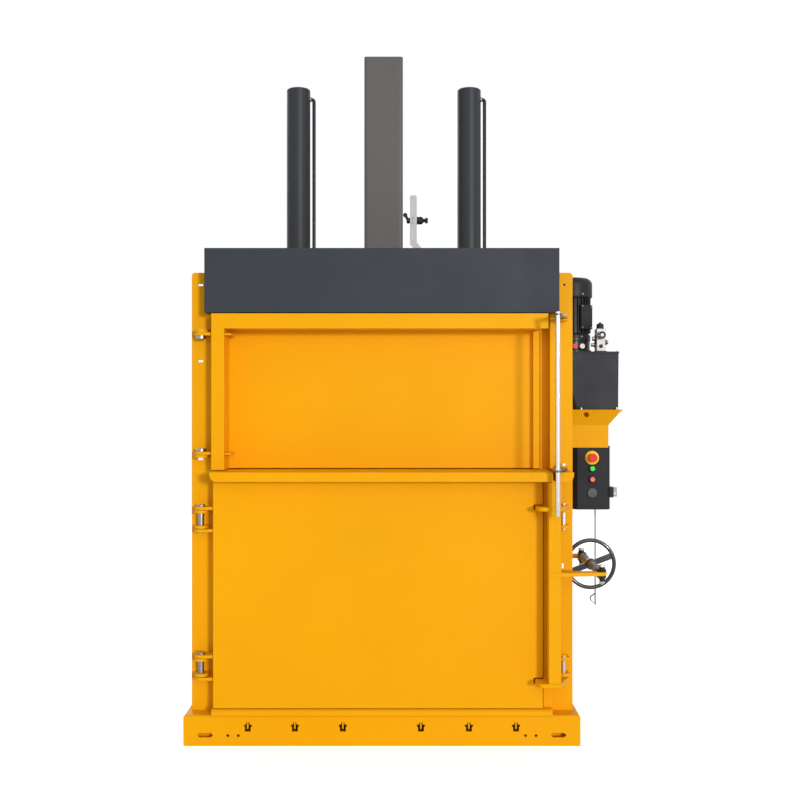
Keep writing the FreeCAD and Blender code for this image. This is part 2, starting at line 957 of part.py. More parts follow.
def ram_mast():
    piece = Piece("ram_mast")
    half = d.mast_side / 2
    inner = half - d.mast_wall
    piece.pad("XY", rectangle(-half, -half, half, half), d.mast_long)
    piece.fillet(upright, d.mast_round)
    piece.cut("XY", rectangle(-inner, -inner, inner, inner), d.mast_long - d.mast_wall)
    put_at(piece.body, 0, d.ram_y, platen_top)
    node(piece, "ram_mast")


def platen():
    """The press plate: a thick plate with strap channels below and a grid of ribs above."""
    piece = Piece("press_plate")
    half = d.opening_half - d.platen_gap
    piece.pad("XY", rectangle(-half, d.platen_front, half, d.platen_back), d.platen_high)
    channels = []
    for x in strap_lines:
        channels.append(rectangle(x - d.strap_channel / 2, d.platen_front,
                                  x + d.strap_channel / 2, d.platen_back))
    piece.cut("XY", together(*channels), d.channel_deep)
    # Cells between the ribs; the middle column of cells stays solid where the mast and rods stand.
    cells = []
    rib = d.platen_rib
    foot = d.rod_r + 20
    middle = d.mast_side / 2 + 10
    spans = [(-half + rib, -d.cylinder_x - foot), (-d.cylinder_x + foot, -middle),
             (middle, d.cylinder_x - foot), (d.cylinder_x + foot, half - rib)]
    rows = [(d.platen_front + rib, d.ram_y - middle - rib), (d.ram_y - middle, d.ram_y - rib / 2),
            (d.ram_y + rib / 2, d.ram_y + middle), (d.ram_y + middle + rib, d.platen_back - rib)]
    for left, right in spans:
        for near, far in rows:
            cells.append(rectangle(left, near, right, far))
    piece.cut("XY", together(*cells), d.platen_high - d.platen_plate, d.platen_plate)
    put_at(piece.body, 0, 0, d.platen_low)
    node(piece, "press_plate")


def hydraulic_pipes():
    """A pressure pipe from the top of each cylinder down into the head frame."""
    pipes = []
    bend = d.pipe_bend
    high = barrel_top - d.port_drop - head_top
    for side, tag in ((-1, "_left"), (1, "_right")):
        piece = Piece("pipe" + tag)
        route = piece.sketch("XZ")
        steps = [(0, 0), (0, high - bend)]
        route.addGeometry(Part.LineSegment(flat(*steps[0]), flat(*steps[1])), False)
        arc = Part.Circle(flat(-bend, high - bend), FreeCAD.Vector(0, 0, 1), mm(bend))
        route.addGeometry(Part.ArcOfCircle(arc, 0, math.pi / 2), False)
        route.addConstraint(Sketcher.Constraint("Coincident", 0, 2, 1, 1))
        fix_point(route, 0, 1, 0, 0)
        fix_point(route, 0, 2, 0, high - bend)
        fix_point(route, 1, 3, -bend, high - bend)
        fix_point(route, 1, 2, x=-bend)
        section = piece.sketch("XY")
        draw_circle(section, 0, 0, d.pipe_r)
        pipe = piece.feature("AdditivePipe", "pipe")
        pipe.Profile = section
        pipe.Spine = (route, ["Edge1", "Edge2"])
        x = d.cylinder_x * side + d.barrel_r + d.pipe_reach
        put_at(piece.body, x, d.ram_y, head_top)
        pipes.append(piece.body)
    node(group("hydraulic_pipes", pipes), "hydraulic_pipes")


def port_fittings():
    """A port block on each cylinder, and a nut where its pipe meets the head frame."""
    fittings = []
    z = barrel_top - d.port_drop
    port_long = d.pipe_reach - d.pipe_bend
    for side, tag in ((-1, "_left"), (1, "_right")):
        x = d.cylinder_x * side
        edge = x + d.barrel_r
        block = cylinder("port" + tag, edge - 5, d.ram_y, z, 11, port_long + 5, "x")
        barrel = cylinder("port_seat" + tag, x, d.ram_y, z - 30, d.barrel_r, 60)
        fittings.append(cut("port_block" + tag, block, barrel))
        outer = cylinder("nut" + tag, edge + d.pipe_reach, d.ram_y, head_top, 12, 18)
        bore = cylinder("nut_bore" + tag, edge + d.pipe_reach, d.ram_y, head_top, d.pipe_r, 18)
        fittings.append(cut("pipe_nut" + tag, outer, bore))
    return fittings


# --- Hinge eyes -----------------------------------------------------------------------

def eye_plate(name, eye_x, eye_y, eye_r, hole_r, end, thick, z):
    """A hinge plate: a round eye, and straight sides to a flat end at Y = end."""
    piece = Piece(name)
    run = path((eye_x - eye_r, end), [
        ("to", eye_x - eye_r, eye_y),
        ("turn", eye_x, eye_y, eye_x + eye_r, eye_y, True),
        ("to", eye_x + eye_r, end), ("to", eye_x - eye_r, end)])
    piece.pad("XY", together(run, circle(eye_x, eye_y, hole_r)), thick)
    put_at(piece.body, 0, 0, z)
    return piece.body


def leaf_plate(name, eye_x, eye_y, eye_r, hole_r, end_x, thick, z):
    """A hinge leaf: a round eye on the left, running to a flat end on the right at X = end."""
    piece = Piece(name)
    run = path((end_x, eye_y - eye_r), [
        ("to", end_x, eye_y + eye_r), ("to", eye_x, eye_y + eye_r),
        ("turn", eye_x, eye_y, eye_x, eye_y - eye_r, True), ("to", end_x, eye_y - eye_r)])
    piece.pad("XY", together(run, circle(eye_x, eye_y, hole_r)), thick)
    put_at(piece.body, 0, 0, z)
    return piece.body


def headed_pin(name, x, y, low, high, radius, head_r, head_high, under=False):
    """An upright pin with a head on its top end, or on its lower end."""
    piece = Piece(name)
    length = high - low
    if under:
        piece.spin("XZ", polygon([
            (0, -head_high), (head_r - 1, -head_high), (head_r, 1 - head_high), (head_r, 0),
            (radius, 0), (radius, length - 1), (radius - 1, length), (0, length)]))
    else:
        piece.spin("XZ", polygon([
            (0, 0), (radius - 1, 0), (radius, 1), (radius, length), (head_r, length),
            (head_r, length + head_high - 1), (head_r - 1, length + head_high), (0, length + head_high)]))
    put_at(piece.body, x, y, low)
    return piece.body


# --- Bale door ------------------------------------------------------------------------

door_low = floor_top + d.door_gap
door_top = d.ledge_low


def claw_notches():
    """Heights of the two lock claws: (low, high), with their room."""
    return [(d.claw_low - d.notch_room, d.claw_low + d.claw_thick + d.notch_room),
            (d.claw_top - d.claw_thick - d.notch_room, d.claw_top + d.notch_room)]


def door_stiles():
    """Heights of the door's lock side that stand between the notches for the claws."""
    levels = [door_low]
    for low, top in claw_notches():
        levels += [low, top]
    levels.append(door_top)
    levels.sort(key=mm)
    return list(zip(levels[::2], levels[1::2]))


def door_panel():
    """The door's outer skin: a pan welded from plates, open to the chamber, with inner ribs."""
    skin = d.door_sheet
    left = -d.door_left
    right = d.claw_tip - d.notch_side
    near = skin - d.door_front
    deep = d.door_inner - skin - near
    high = door_top - door_low
    plates = [
        box("door_skin", left, -d.door_front, door_low, right - left, skin, high),
        box("door_rim_low", left, near, door_low, right - left, deep, skin),
        box("door_rim_high", left, near, door_top - skin, right - left, deep, skin)]
    inner_rib = (d.strap_one + d.strap_two) / 2
    outer_rib = (d.strap_two + d.strap_three) / 2
    uprights = [left + skin / 2, -outer_rib, -inner_rib, 0, inner_rib, outer_rib, right - skin / 2]
    for i, x in enumerate(uprights):
        plates.append(box("door_rib%d" % i, x - skin / 2, near, door_low + skin, skin, deep,
                          high - 2 * skin))
    for i, (low, top) in enumerate(door_stiles()):
        stile = Piece("door_stile%d" % i)
        stile.pad("XZ", rectangle(right, 0, d.door_right, top - low), deep + skin)
        stile.cut("XZ", rectangle(right + skin, skin, d.door_right - skin, top - low - skin), deep, skin)
        put_at(stile.body, 0, -d.door_front, low)
        plates.append(stile.body)
    return plates


def door_lining():
    """The inner face of the door: boards with an upright channel for each strap between them."""
    skin = d.door_sheet
    right = d.claw_tip - d.notch_side
    ends = [-d.door_left]
    for x in strap_lines:
        ends += [x - d.strap_channel / 2, x + d.strap_channel / 2]
    ends.append(right)
    boards = []
    for i, (start, end) in enumerate(zip(ends[::2], ends[1::2])):
        boards.append(box("lining_board%d" % i, start, d.door_inner - skin, door_low, end - start, skin,
                          door_top - door_low))
    for i, (low, top) in enumerate(door_stiles()):
        boards.append(box("lining_stile%d" % i, right, d.door_inner - skin, low, d.door_right - right,
                          skin, top - low))
    node(group("door_lining_boards", boards), "door_lining")


def door_ledge():
    """The door's top beam: a folded channel whose front lip has one rounded lower corner."""
    piece = Piece("door_ledge")
    left = -d.door_left
    curve = d.ledge_round
    lip = d.door_sheet
    deep = d.ledge_reach + d.door_inner
    piece.pad("XZ", path((left, d.ledge_high), [
        ("to", left, curve),
        ("turn", left + curve, curve, left + curve, 0, True),
        ("to", d.ledge_right, 0), ("to", d.ledge_right, d.ledge_high), ("to", left, d.ledge_high)]), lip)
    piece.pad("XZ", rectangle(left, d.ledge_high - lip, d.ledge_right, d.ledge_high), deep)
    webs = []
    for x in (left + d.stile_width, 0 - lip / 2, d.ledge_right - lip):
        webs.append(rectangle(x, 0, x + lip, d.ledge_high))
    piece.pad("XZ", together(*webs), deep)
    put_at(piece.body, 0, -d.ledge_reach, d.ledge_low)
    node(piece, "door_ledge")


def door_hinges(pan):
    """Leaves on the door, and the ears and pins on the column."""
    ears = []
    leaves = []
    pins = []
    hole = d.hinge_pin_r + d.hinge_gap
    eye_x = -d.hinge_x
    eye_y = -d.hinge_y
    for middle, name in ((d.door_hinge_high, "high"), (d.door_hinge_low, "low")):
        leaf_top = middle + d.hinge_half - d.leaf_thick
        leaf_low = middle - d.hinge_half
        ear_top = leaf_top - d.hinge_step - d.leaf_thick
        ear_low = leaf_low + d.leaf_thick + d.hinge_step
        for z, tag in ((leaf_top, "top"), (leaf_low, "low")):
            leaves.append(leaf_plate("door_leaf_%s_%s" % (name, tag), eye_x, eye_y, d.hinge_eye_r, hole,
                                     -d.door_left, d.leaf_thick, z))
        for z, tag in ((ear_top, "top"), (ear_low, "low")):
            ears.append(eye_plate("door_ear_%s_%s" % (name, tag), eye_x, eye_y, d.hinge_eye_r,
                                  d.hinge_pin_r, 0, d.leaf_thick, z))
        pin_low = leaf_low - 4
        pin_top = leaf_top + d.leaf_thick + 0.3
        pins.append(headed_pin("door_pin_" + name, eye_x, eye_y, pin_low, pin_top, d.hinge_pin_r,
                               d.hinge_pin_r + 5, 8))
    node(group("door_panel_hinged", pan + leaves), "door_panel")
    return ears, pins


# --- Loading hatch --------------------------------------------------------------------

hatch_left = d.door_left + 7
recess_y = d.hatch_recess - d.hatch_front


def hatch_frame():
    """Front frame of the hatch: top rail and left stile, folded back to the recessed sheet."""
    piece = Piece("hatch_rim")
    high = d.hatch_top - d.hatch_low
    skin = d.hatch_sheet
    left = -hatch_left
    inner = left + d.stile_width
    rail_low = high - d.rail_high
    piece.pad("XZ", polygon([
        (left, 0), (inner, 0), (inner, rail_low), (d.rail_right, rail_low), (d.rail_right, high),
        (left, high)]), skin)
    deep = d.hatch_recess
    piece.pad("XZ", polygon([
        (inner - skin, 0), (inner, 0), (inner, rail_low), (d.door_right, rail_low),
        (d.door_right, rail_low + skin), (inner - skin, rail_low + skin)]), deep)
    put_at(piece.body, 0, -d.hatch_front, d.hatch_low)
    return piece.body


def hatch_panel():
    """The recessed sheet with its lower fold and the upright channel on its free edge."""
    piece = Piece("hatch_panel")
    high = d.hatch_top - d.hatch_low - d.rail_high + d.hatch_sheet
    skin = d.hatch_sheet
    left = -hatch_left + d.stile_width - skin
    piece.pad("XZ", rectangle(left, 0, d.door_right, high), skin)
    post = d.hatch_post
    right = d.door_right
    piece.pad("XY", polygon([
        (right - post, 0), (right - post, -post), (right, -post), (right, 0), (right - skin, 0),
        (right - skin, skin - post), (right - post + skin, skin - post), (right - post + skin, 0)]),
        high - skin - 1)
    put_at(piece.body, 0, recess_y, d.hatch_low)
    node(piece, "hatch_panel")


def hatch_hinges(rim):
    """Hinge arms on the hatch, their ears on the column and the pins."""
    arms = []
    ears = []
    pins = []
    hole = d.hinge_pin_r + d.hinge_gap
    eye_x = -d.hinge_x
    eye_y = -d.hinge_y
    for z, name in ((d.hatch_hinge_high, "high"), (d.hatch_hinge_low, "low")):
        arms.append(leaf_plate("hatch_arm_" + name, eye_x, eye_y, d.hinge_eye_r, hole,
                               d.stile_width - hatch_left - d.hatch_sheet, d.leaf_thick, z))
        ear_z = z - d.hatch_eye_gap - d.leaf_thick
        low = ear_z
        top = z + d.leaf_thick + 0.3
        if name == "high":
            ear_z = z + d.leaf_thick + d.hatch_eye_gap
            low = z - 0.3
            top = ear_z + d.leaf_thick + 3
        ears.append(eye_plate("hatch_ear_" + name, eye_x, eye_y, d.hinge_eye_r, d.hinge_pin_r, 0,
                              d.leaf_thick, ear_z))
        pins.append(headed_pin("hatch_pin_" + name, eye_x, eye_y, low, top, d.hinge_pin_r,
                               d.hinge_pin_r + 9, 13, name == "high"))
    node(group("hatch_frame_hinged", [rim] + arms), "hatch_frame")
    return ears, pins


# --- Lock of the bale door ------------------------------------------------------------

lock_eye_y = -d.lock_y
claw_places = [("low", d.claw_low), ("high", d.claw_top - d.claw_thick)]


def lock_bar():
    """Upright channel of the lock, from the lower claw to just under the ledge."""
    piece = Piece("lock_bar")
    low = d.claw_low + d.claw_thick
    top = d.ledge_low - 4
    wall = d.lock_wall
    piece.pad("XY", polygon([
        (d.lock_left, -d.lock_front), (d.lock_right, -d.lock_front), (d.lock_right, -d.lock_back),
        (d.lock_right - wall, -d.lock_back), (d.lock_right - wall, wall - d.lock_front),
        (d.lock_left + wall, wall - d.lock_front), (d.lock_left + wall, -d.lock_back),
        (d.lock_left, -d.lock_back)]), top - low)
    put_at(piece.body, 0, 0, low)
    return node(piece, "lock_bar")


def lock_claws(bar):
    """Plates that turn on the lock pins, carry the bar and reach over the door's edge."""
    claws = []
    x = d.lock_x
    y = lock_eye_y
    eye = d.lock_eye_r
    front = -d.lock_front - d.claw_proud
    for name, z in claw_places:
        piece = Piece("claw_" + name)
        outline = path((d.claw_tip, front + d.claw_round), [
            ("turn", d.claw_tip + d.claw_round, front + d.claw_round, d.claw_tip + d.claw_round, front, True),
            ("to", d.lock_right, front),
            ("to", x + eye, y), ("turn", x, y, x, y + eye, True),
            ("to", d.lock_left, -d.door_front - d.notch_room),
            ("to", d.claw_tip, -d.door_front - d.notch_room),
            ("to", d.claw_tip, front + d.claw_round)])
        piece.pad("XY", together(outline, circle(x, y, d.lock_pin_r + d.hinge_gap)), d.claw_thick)
        put_at(piece.body, 0, 0, z)
        if name == "high":
            shape = cut("claw_high_cut", piece.body, bar)
        else:
            shape = piece.body
        claws.append(shape)
    node(group("lock_claws", claws), "lock_claws")


def lock_arm(bar):
    """Tapered arm from the bar to the screw; its eye has room, as the screw's free pivot."""
    piece = Piece("arm_plate")
    x = d.screw_x
    y = -d.screw_front
    eye = d.lug_eye_r
    hole = d.screw_bolt_r + d.pivot_room
    front = -d.lock_front - d.claw_proud
    outline = path((d.lock_left, front), [
        ("to", d.lock_right, front), ("to", x, y - eye),
        ("turn", x, y, x, y + eye, True),
        ("to", d.lock_x + 40, y + eye), ("to", d.lock_right, 25 - d.lock_back),
        ("to", d.lock_left, 25 - d.lock_back), ("to", d.lock_left, front)])
    piece.pad("XY", together(outline, circle(x, y, hole)), d.arm_thick)
    put_at(piece.body, 0, 0, d.screw_z - d.arm_thick / 2)
    node(cut("lock_arm_cut", piece.body, bar), "lock_arm")


def lock_ears():
    """Ears on the right column and the pins that the lock turns on."""
    ears = []
    pins = []
    x = d.lock_x
    for name, z in claw_places:
        if name == "high":
            first = z - d.ear_step - d.ear_thick
            second = first - d.ear_apart
            pin_low = second - 8
            pin_top = z + d.claw_thick + 0.3
        else:
            first = z + d.claw_thick + d.ear_step
            second = first + d.ear_apart
            pin_low = z - 8
            pin_top = second + d.ear_thick
        for ear_z, tag in ((first, "near"), (second, "far")):
            ears.append(eye_plate("lock_ear_%s_%s" % (name, tag), x, lock_eye_y, d.lock_eye_r,
                                  d.lock_pin_r, 0, d.ear_thick, ear_z))
        pins.append(headed_pin("lock_pin_" + name, x, lock_eye_y, pin_low, pin_top, d.lock_pin_r,
                               d.lock_pin_r + 4, 5))
    return ears, pins


def fork(name, pivot_y, way):
    """A clevis with its bolt: the tines hold a plate, and the shank runs into the sleeve."""
    reach = d.fork_reach
    room = d.arm_thick / 2 + d.fork_gap
    half = d.fork_wide / 2
    tine = -half
    web = d.fork_reach - 16
    piece = Piece(name + "_clevis")
    total = room + d.fork_leg
    piece.pad("YZ", polygon([
        (tine, -total), (reach, -total), (reach, total), (tine, total),
        (tine, room), (web, room), (web, -room), (tine, -room)]), d.fork_wide, -half)
    piece.cut("XY", circle(0, 0, d.screw_bolt_r), 2 * total, -total)

    def tine_end(edge):
        return upright(edge) and edge.BoundBox.YMax < -mm(half) + 0.01

    piece.fillet(tine_end, d.fork_wide / 2 - 1)
    if way > 0:
        end = d.sleeve_start + d.screw_front
    else:
        end = d.screw_back - d.sleeve_start - d.sleeve_long
    shank = end + d.sleeve_long / 2 - d.screw_end_room
    piece.pad("XZ", circle(0, 0, d.screw_r), shank - reach, reach)
    if way < 0:
        piece.body.Placement.Rotation = FreeCAD.Rotation(FreeCAD.Vector(0, 0, 1), 180)
    put_at(piece.body, d.screw_x, pivot_y, d.screw_z)
    node(group(name, [piece.body, screw_bolt(name + "_bolt", pivot_y)]), name)


def screw_bolt(name, pivot_y):
    """Pivot bolt of a fork, with head and nut."""
    total = d.arm_thick / 2 + d.fork_gap + d.fork_leg
    piece = Piece(name)
    r = d.screw_bolt_r
    high = 9
    piece.spin("XZ", polygon([
        (0, -total - 14), (r, -total - 14), (r, -total - high), (r + 4, -total - high),
        (r + 4, -total), (r, -total), (r, total), (r + 4, total), (r + 4, total + high),
        (0, total + high)]))
    return put_at(piece.body, d.screw_x, pivot_y, d.screw_z)


def screw_sleeve():
    """Threaded sleeve between the forks: a tube with heavier ends."""
    piece = Piece("screw_sleeve")
    long = d.sleeve_long
    inner = d.screw_r + d.running_gap
    outer = d.sleeve_r
    piece.spin("XZ", polygon([
        (inner, 0), (outer, 0), (outer + 3, 3), (outer + 3, 24), (outer, 27), (outer, long - 27),
        (outer + 3, long - 24), (outer + 3, long - 3), (outer, long), (inner, long)]))
    piece.body.Placement.Rotation = TURNS["y"]
    put_at(piece.body, d.screw_x, d.sleeve_start, d.screw_z)
    node(piece, "screw_sleeve")


def hand_wheel():
    """Two-spoke hand wheel on the sleeve."""
    piece = Piece("hand_wheel")
    r = d.rim_r
    sk = piece.sketch("XZ")
    draw_circle(sk, d.wheel_r, 0, r)
    rim = piece.feature("Revolution", "rim")
    rim.Profile = sk
    rim.ReferenceAxis = (sk, ["V_Axis"])
    rim.Angle = 360
    half = d.spoke_wide / 2
    half_thick = d.spoke_thick / 2
    piece.pad("XY", rectangle(-d.wheel_r, -half, d.wheel_r, half), d.spoke_thick, -half_thick)
    piece.pad("XY", circle(0, 0, d.hub_r), 30, -15)
    piece.cut("XY", circle(0, 0, d.sleeve_r), 40, -20)
    turn = FreeCAD.Rotation(FreeCAD.Vector(0, 1, 0), -mm(d.spoke_tilt))
    piece.body.Placement.Rotation = turn.multiply(TURNS["y"])
    put_at(piece.body, d.screw_x, d.wheel_y, d.screw_z)
    node(piece, "hand_wheel")


def screw_lug():
    """Lug on the side of the column that the rear fork turns on."""
    piece = Piece("screw_lug")
    x = d.screw_x
    y = d.screw_back
    eye = d.lug_eye_r
    root = d.opening_half + d.column_plate
    outline = path((root, y - 45), [
        ("to", x, y - eye), ("turn", x, y, x, y + eye, True), ("to", root, y + 70),
        ("to", root, y - 45)])
    piece.pad("XY", together(outline, circle(x, y, d.screw_bolt_r + d.hinge_gap)), d.arm_thick)
    put_at(piece.body, 0, 0, d.screw_z - d.arm_thick / 2)
    node(piece, "screw_lug")


# --- Latch of the hatch ---------------------------------------------------------------

latch_places = [("low", d.latch_arm_low), ("high", d.latch_arm_high)]


def latch():
    """Chrome rod on two arms that turn on pins at the right column."""
    arms = []
    collars = []
    x = d.latch_x
    y = -d.latch_y
    rod_y = -d.rod_y
    eye = d.latch_eye_r
    rod_eye = d.latch_rod_r + 6
    for name, z in latch_places:
        piece = Piece("latch_arm_" + name)
        outline = path((d.rod_x - rod_eye, rod_y), [
            ("turn", d.rod_x, rod_y, d.rod_x + rod_eye, rod_y, True),
            ("to", x + eye, y), ("turn", x, y, x, y + eye, True),
            ("to", d.latch_nose, -d.hatch_front - 8), ("to", d.latch_nose, -d.hatch_front - 40),
            ("to", d.rod_x - rod_eye, rod_y + 50), ("to", d.rod_x - rod_eye, rod_y)])
        piece.pad("XY", together(outline, circle(x, y, d.latch_pin_r + d.hinge_gap),
                                 circle(d.rod_x, rod_y, d.latch_rod_r)), d.latch_plate)
        put_at(piece.body, 0, 0, z)
        arms.append(piece.body)
        collar = Piece("collar_" + name)
        collar.spin("XZ", rectangle(d.latch_rod_r, 0, d.collar_r, d.collar_high))
        put_at(collar.body, d.rod_x, rod_y, z + d.latch_plate)
        collars.append(collar.body)
    node(group("latch_arms", arms), "latch_arms")
    rod = Piece("rod_bar")
    long = d.rod_top - d.rod_low
    r = d.latch_rod_r
    rod.spin("XZ", polygon([
        (0, 0), (r - 2, 0), (r, 2), (r, long - 2), (r - 2, long), (0, long)]))
    put_at(rod.body, d.rod_x, rod_y, d.rod_low)
    node(fuse("latch_rod_collared", rod.body, *collars), "latch_rod")


def latch_seats():
    """Console in line with the ledge and the upper bracket; each carries a latch pin."""
    console = Piece("latch_console")
    left = d.console_left
    right = d.console_right
    curve = d.ledge_round
    skin = d.door_sheet
    high = d.ledge_high
    console.pad("XZ", path((left, 0), [
        ("to", right - curve, 0), ("turn", right - curve, curve, right, curve, True),
        ("to", right, high), ("to", left, high), ("to", left, 0)]), skin)
    console.pad("XZ", rectangle(left, high - skin, right, high), d.ledge_reach)
    console.pad("XZ", rectangle(left, 0, left + skin, high), d.ledge_reach)
    put_at(console.body, 0, -d.ledge_reach, d.ledge_low)
    node(console, "latch_console")
    ears = []
    pins = []
    gap = d.latch_gap
    head = 8
    for name, z in latch_places:
        arm_top = z + d.latch_plate
        if name == "high":
            ear_z = z - gap - d.latch_plate
            low = ear_z
            top = arm_top + gap
        else:
            ear_z = arm_top + gap
            low = z
            top = ear_z + d.latch_plate
        ears.append(eye_plate("latch_ear_" + name, d.latch_x, -d.latch_y, d.latch_eye_r,
                              d.latch_pin_r, 0, d.latch_plate, ear_z))
        pins.append(headed_pin("latch_pin_" + name, d.latch_x, -d.latch_y, low, top,
                               d.latch_pin_r, d.latch_pin_r + 4, head))
    return ears, pins


# --- Power unit -----------------------------------------------------------------------

def tank_shelf():
    """Folded bracket: shelf, sloping apron and front plate, with a foot on the side wall."""
    piece = Piece("tank_shelf")
    root = d.opening_half + d.column_plate
    skin = d.shelf_sheet
    wide = d.shelf_right - root
    drop = d.apron_drop
    front = d.shelf_front - drop
    top = d.shelf_z
    low = d.apron_low
    piece.pad("YZ", polygon([
        (front, low), (front, top - drop), (d.shelf_front, top), (d.shelf_front + d.shelf_deep, top),
        (d.shelf_front + d.shelf_deep, top - skin), (d.shelf_front + skin / 2, top - skin),
        (front + skin, top - drop - skin / 2), (front + skin, low)]), wide)
    slope = d.shelf_right - d.apron_right
    piece.cut("XZ", polygon([
        (wide - slope, low), (wide, low), (wide, top), (wide - slope, top - drop)]),
        d.shelf_front - front, front)
    piece.cut("XZ", circle(d.cab_left + 62 - root, top - 22, 11), d.shelf_front - front, front)
    piece.pad("XY", rectangle(0, d.shelf_front + skin, skin, d.shelf_front + d.shelf_deep), 90,
              top - 90)
    for y in (d.shelf_front + 60, d.shelf_front + d.shelf_deep - 20):
        piece.pad("XZ", polygon([(0, top - 90), (wide - 40, top - skin), (0, top - skin)]), skin, y)
    put_at(piece.body, root, 0, 0)
    node(piece, "tank_shelf")


def oil_tank():
    """Oil tank, drawn in towards its foot on the side of the column."""
    piece = Piece("oil_tank")
    draft = d.tank_draft
    left = d.tank_left
    right = d.tank_right
    near = d.tank_front
    far = d.tank_front + d.tank_deep
    piece.pad("XZ", polygon([
        (left + d.tank_taper, 0), (right - draft, 0), (right, d.tank_high), (left, d.tank_high)]),
        d.tank_deep, near)

    def standing(edge):
        return edge.BoundBox.ZLength > mm(d.tank_high) - 1

    piece.fillet(standing, d.tank_round)
    put_at(piece.body, 0, 0, d.shelf_z)
    node(piece, "oil_tank")
    lid = Piece("tank_lid")
    rim = d.lid_rim
    lid.pad("XY", rectangle(left - rim, near - rim, right + rim, far + rim), d.lid_thick)
    lid.fillet(upright, d.tank_round)
    put_at(lid.body, 0, 0, d.shelf_z + d.tank_high)
    node(lid, "tank_lid")
    bolts = []
    for i, x in enumerate((left + d.tank_taper + d.tank_bolt_in,
                           right - draft - d.tank_bolt_side)):
        bolts.append(cylinder("tank_bolt%d" % i, x, near - 9, d.shelf_z, 7, 9))
        bolts.append(cylinder("tank_bolt_far%d" % i, x, far + 9, d.shelf_z, 7, 9))
    return bolts


def motor():
    """Finned motor on the lid, with its bell housing, terminal box, cowl and fan."""
    lid_top = d.shelf_z + d.tank_high + d.lid_thick
    bell = Piece("bell_housing")
    rise = d.motor_low - lid_top
    bell.spin("XZ", polygon([
        (0, 0), (d.bell_r + 8, 0), (d.bell_r + 8, 10), (d.bell_r, 14), (d.bell_r, rise - 16),
        (d.flange_r, rise - 12), (d.flange_r, rise), (0, rise)]))
    put_at(bell.body, d.motor_x, d.motor_y, lid_top)
    node(bell, "bell_housing")
    piece = Piece("motor_core")
    core = d.motor_r - d.fin_deep
    rim = d.cowl_r - d.cowl_sheet
    long = d.motor_long
    piece.spin("XZ", polygon([
        (0, 0), (d.flange_r, 0), (d.flange_r, 12), (core, 22), (core, long - 16),
        (rim, long - 11), (rim, long), (12, long), (12, long + 40), (0, long + 40)]))
    fin = piece.pad("XY", rectangle(core - 4, -d.fin_thick / 2, d.motor_r, d.fin_thick / 2),
                    long - 34, 24)
    piece.around(fin, d.fin_count)
    put_at(piece.body, d.motor_x, d.motor_y, d.motor_low)
    cowl = Piece("motor_cowl")
    r = d.cowl_r
    skin = d.cowl_sheet
    high = d.cowl_high
    curve = d.cowl_round
    cowl.spin("XZ", path((r - skin, 0), [
        ("to", r, 0), ("to", r, high - curve), ("turn", r - curve, high - curve, r - curve, high, True),
        ("to", 0, high), ("to", 0, high - skin), ("to", r - curve, high - skin),
        ("turn", r - curve, high - curve, r - skin, high - curve, False), ("to", r - skin, 0)]))
    slit = cowl.cut("XY", rectangle(22, -2.5, r - curve - 8, 2.5), skin + 2, high - skin - 1)
    cowl.around(slit, 16)
    put_at(cowl.body, d.motor_x, d.motor_y, d.motor_low + d.motor_long - d.cowl_lap)
    node(cowl, "motor_cowl")
    fan = Piece("motor_fan")
    hub = 20
    fan.pad("XY", circle(0, 0, hub), 30)
    blade = fan.pad("XY", rectangle(hub - 3, -1.5, d.fan_r, 1.5), 26, 2)
    fan.around(blade, 8)
    fan.cut("XY", circle(0, 0, 12 + d.running_gap), 30)
    put_at(fan.body, d.motor_x, d.motor_y, d.motor_low + d.motor_long + 8)
    node(fan, "motor_fan")
    terminal = Piece("terminal_case")
    wide = d.terminal_wide
    terminal.pad("XY", rectangle(d.motor_r - 2, -wide / 2, d.motor_r + 6, wide / 2), d.terminal_high)
    turn = -SIZES["terminal_turn"]
    terminal.body.Placement.Rotation = FreeCAD.Rotation(FreeCAD.Vector(0, 0, 1), turn)
    put_at(terminal.body, d.motor_x, d.motor_y, d.motor_low + d.terminal_up)
    ring = cylinder("terminal_seat", d.motor_x, d.motor_y, d.motor_low, d.motor_r + 0.3, d.motor_long)
    box_seated = cut("terminal_seated", terminal.body, ring)
    node(group("motor_body", [piece.body, box_seated]), "motor_body")


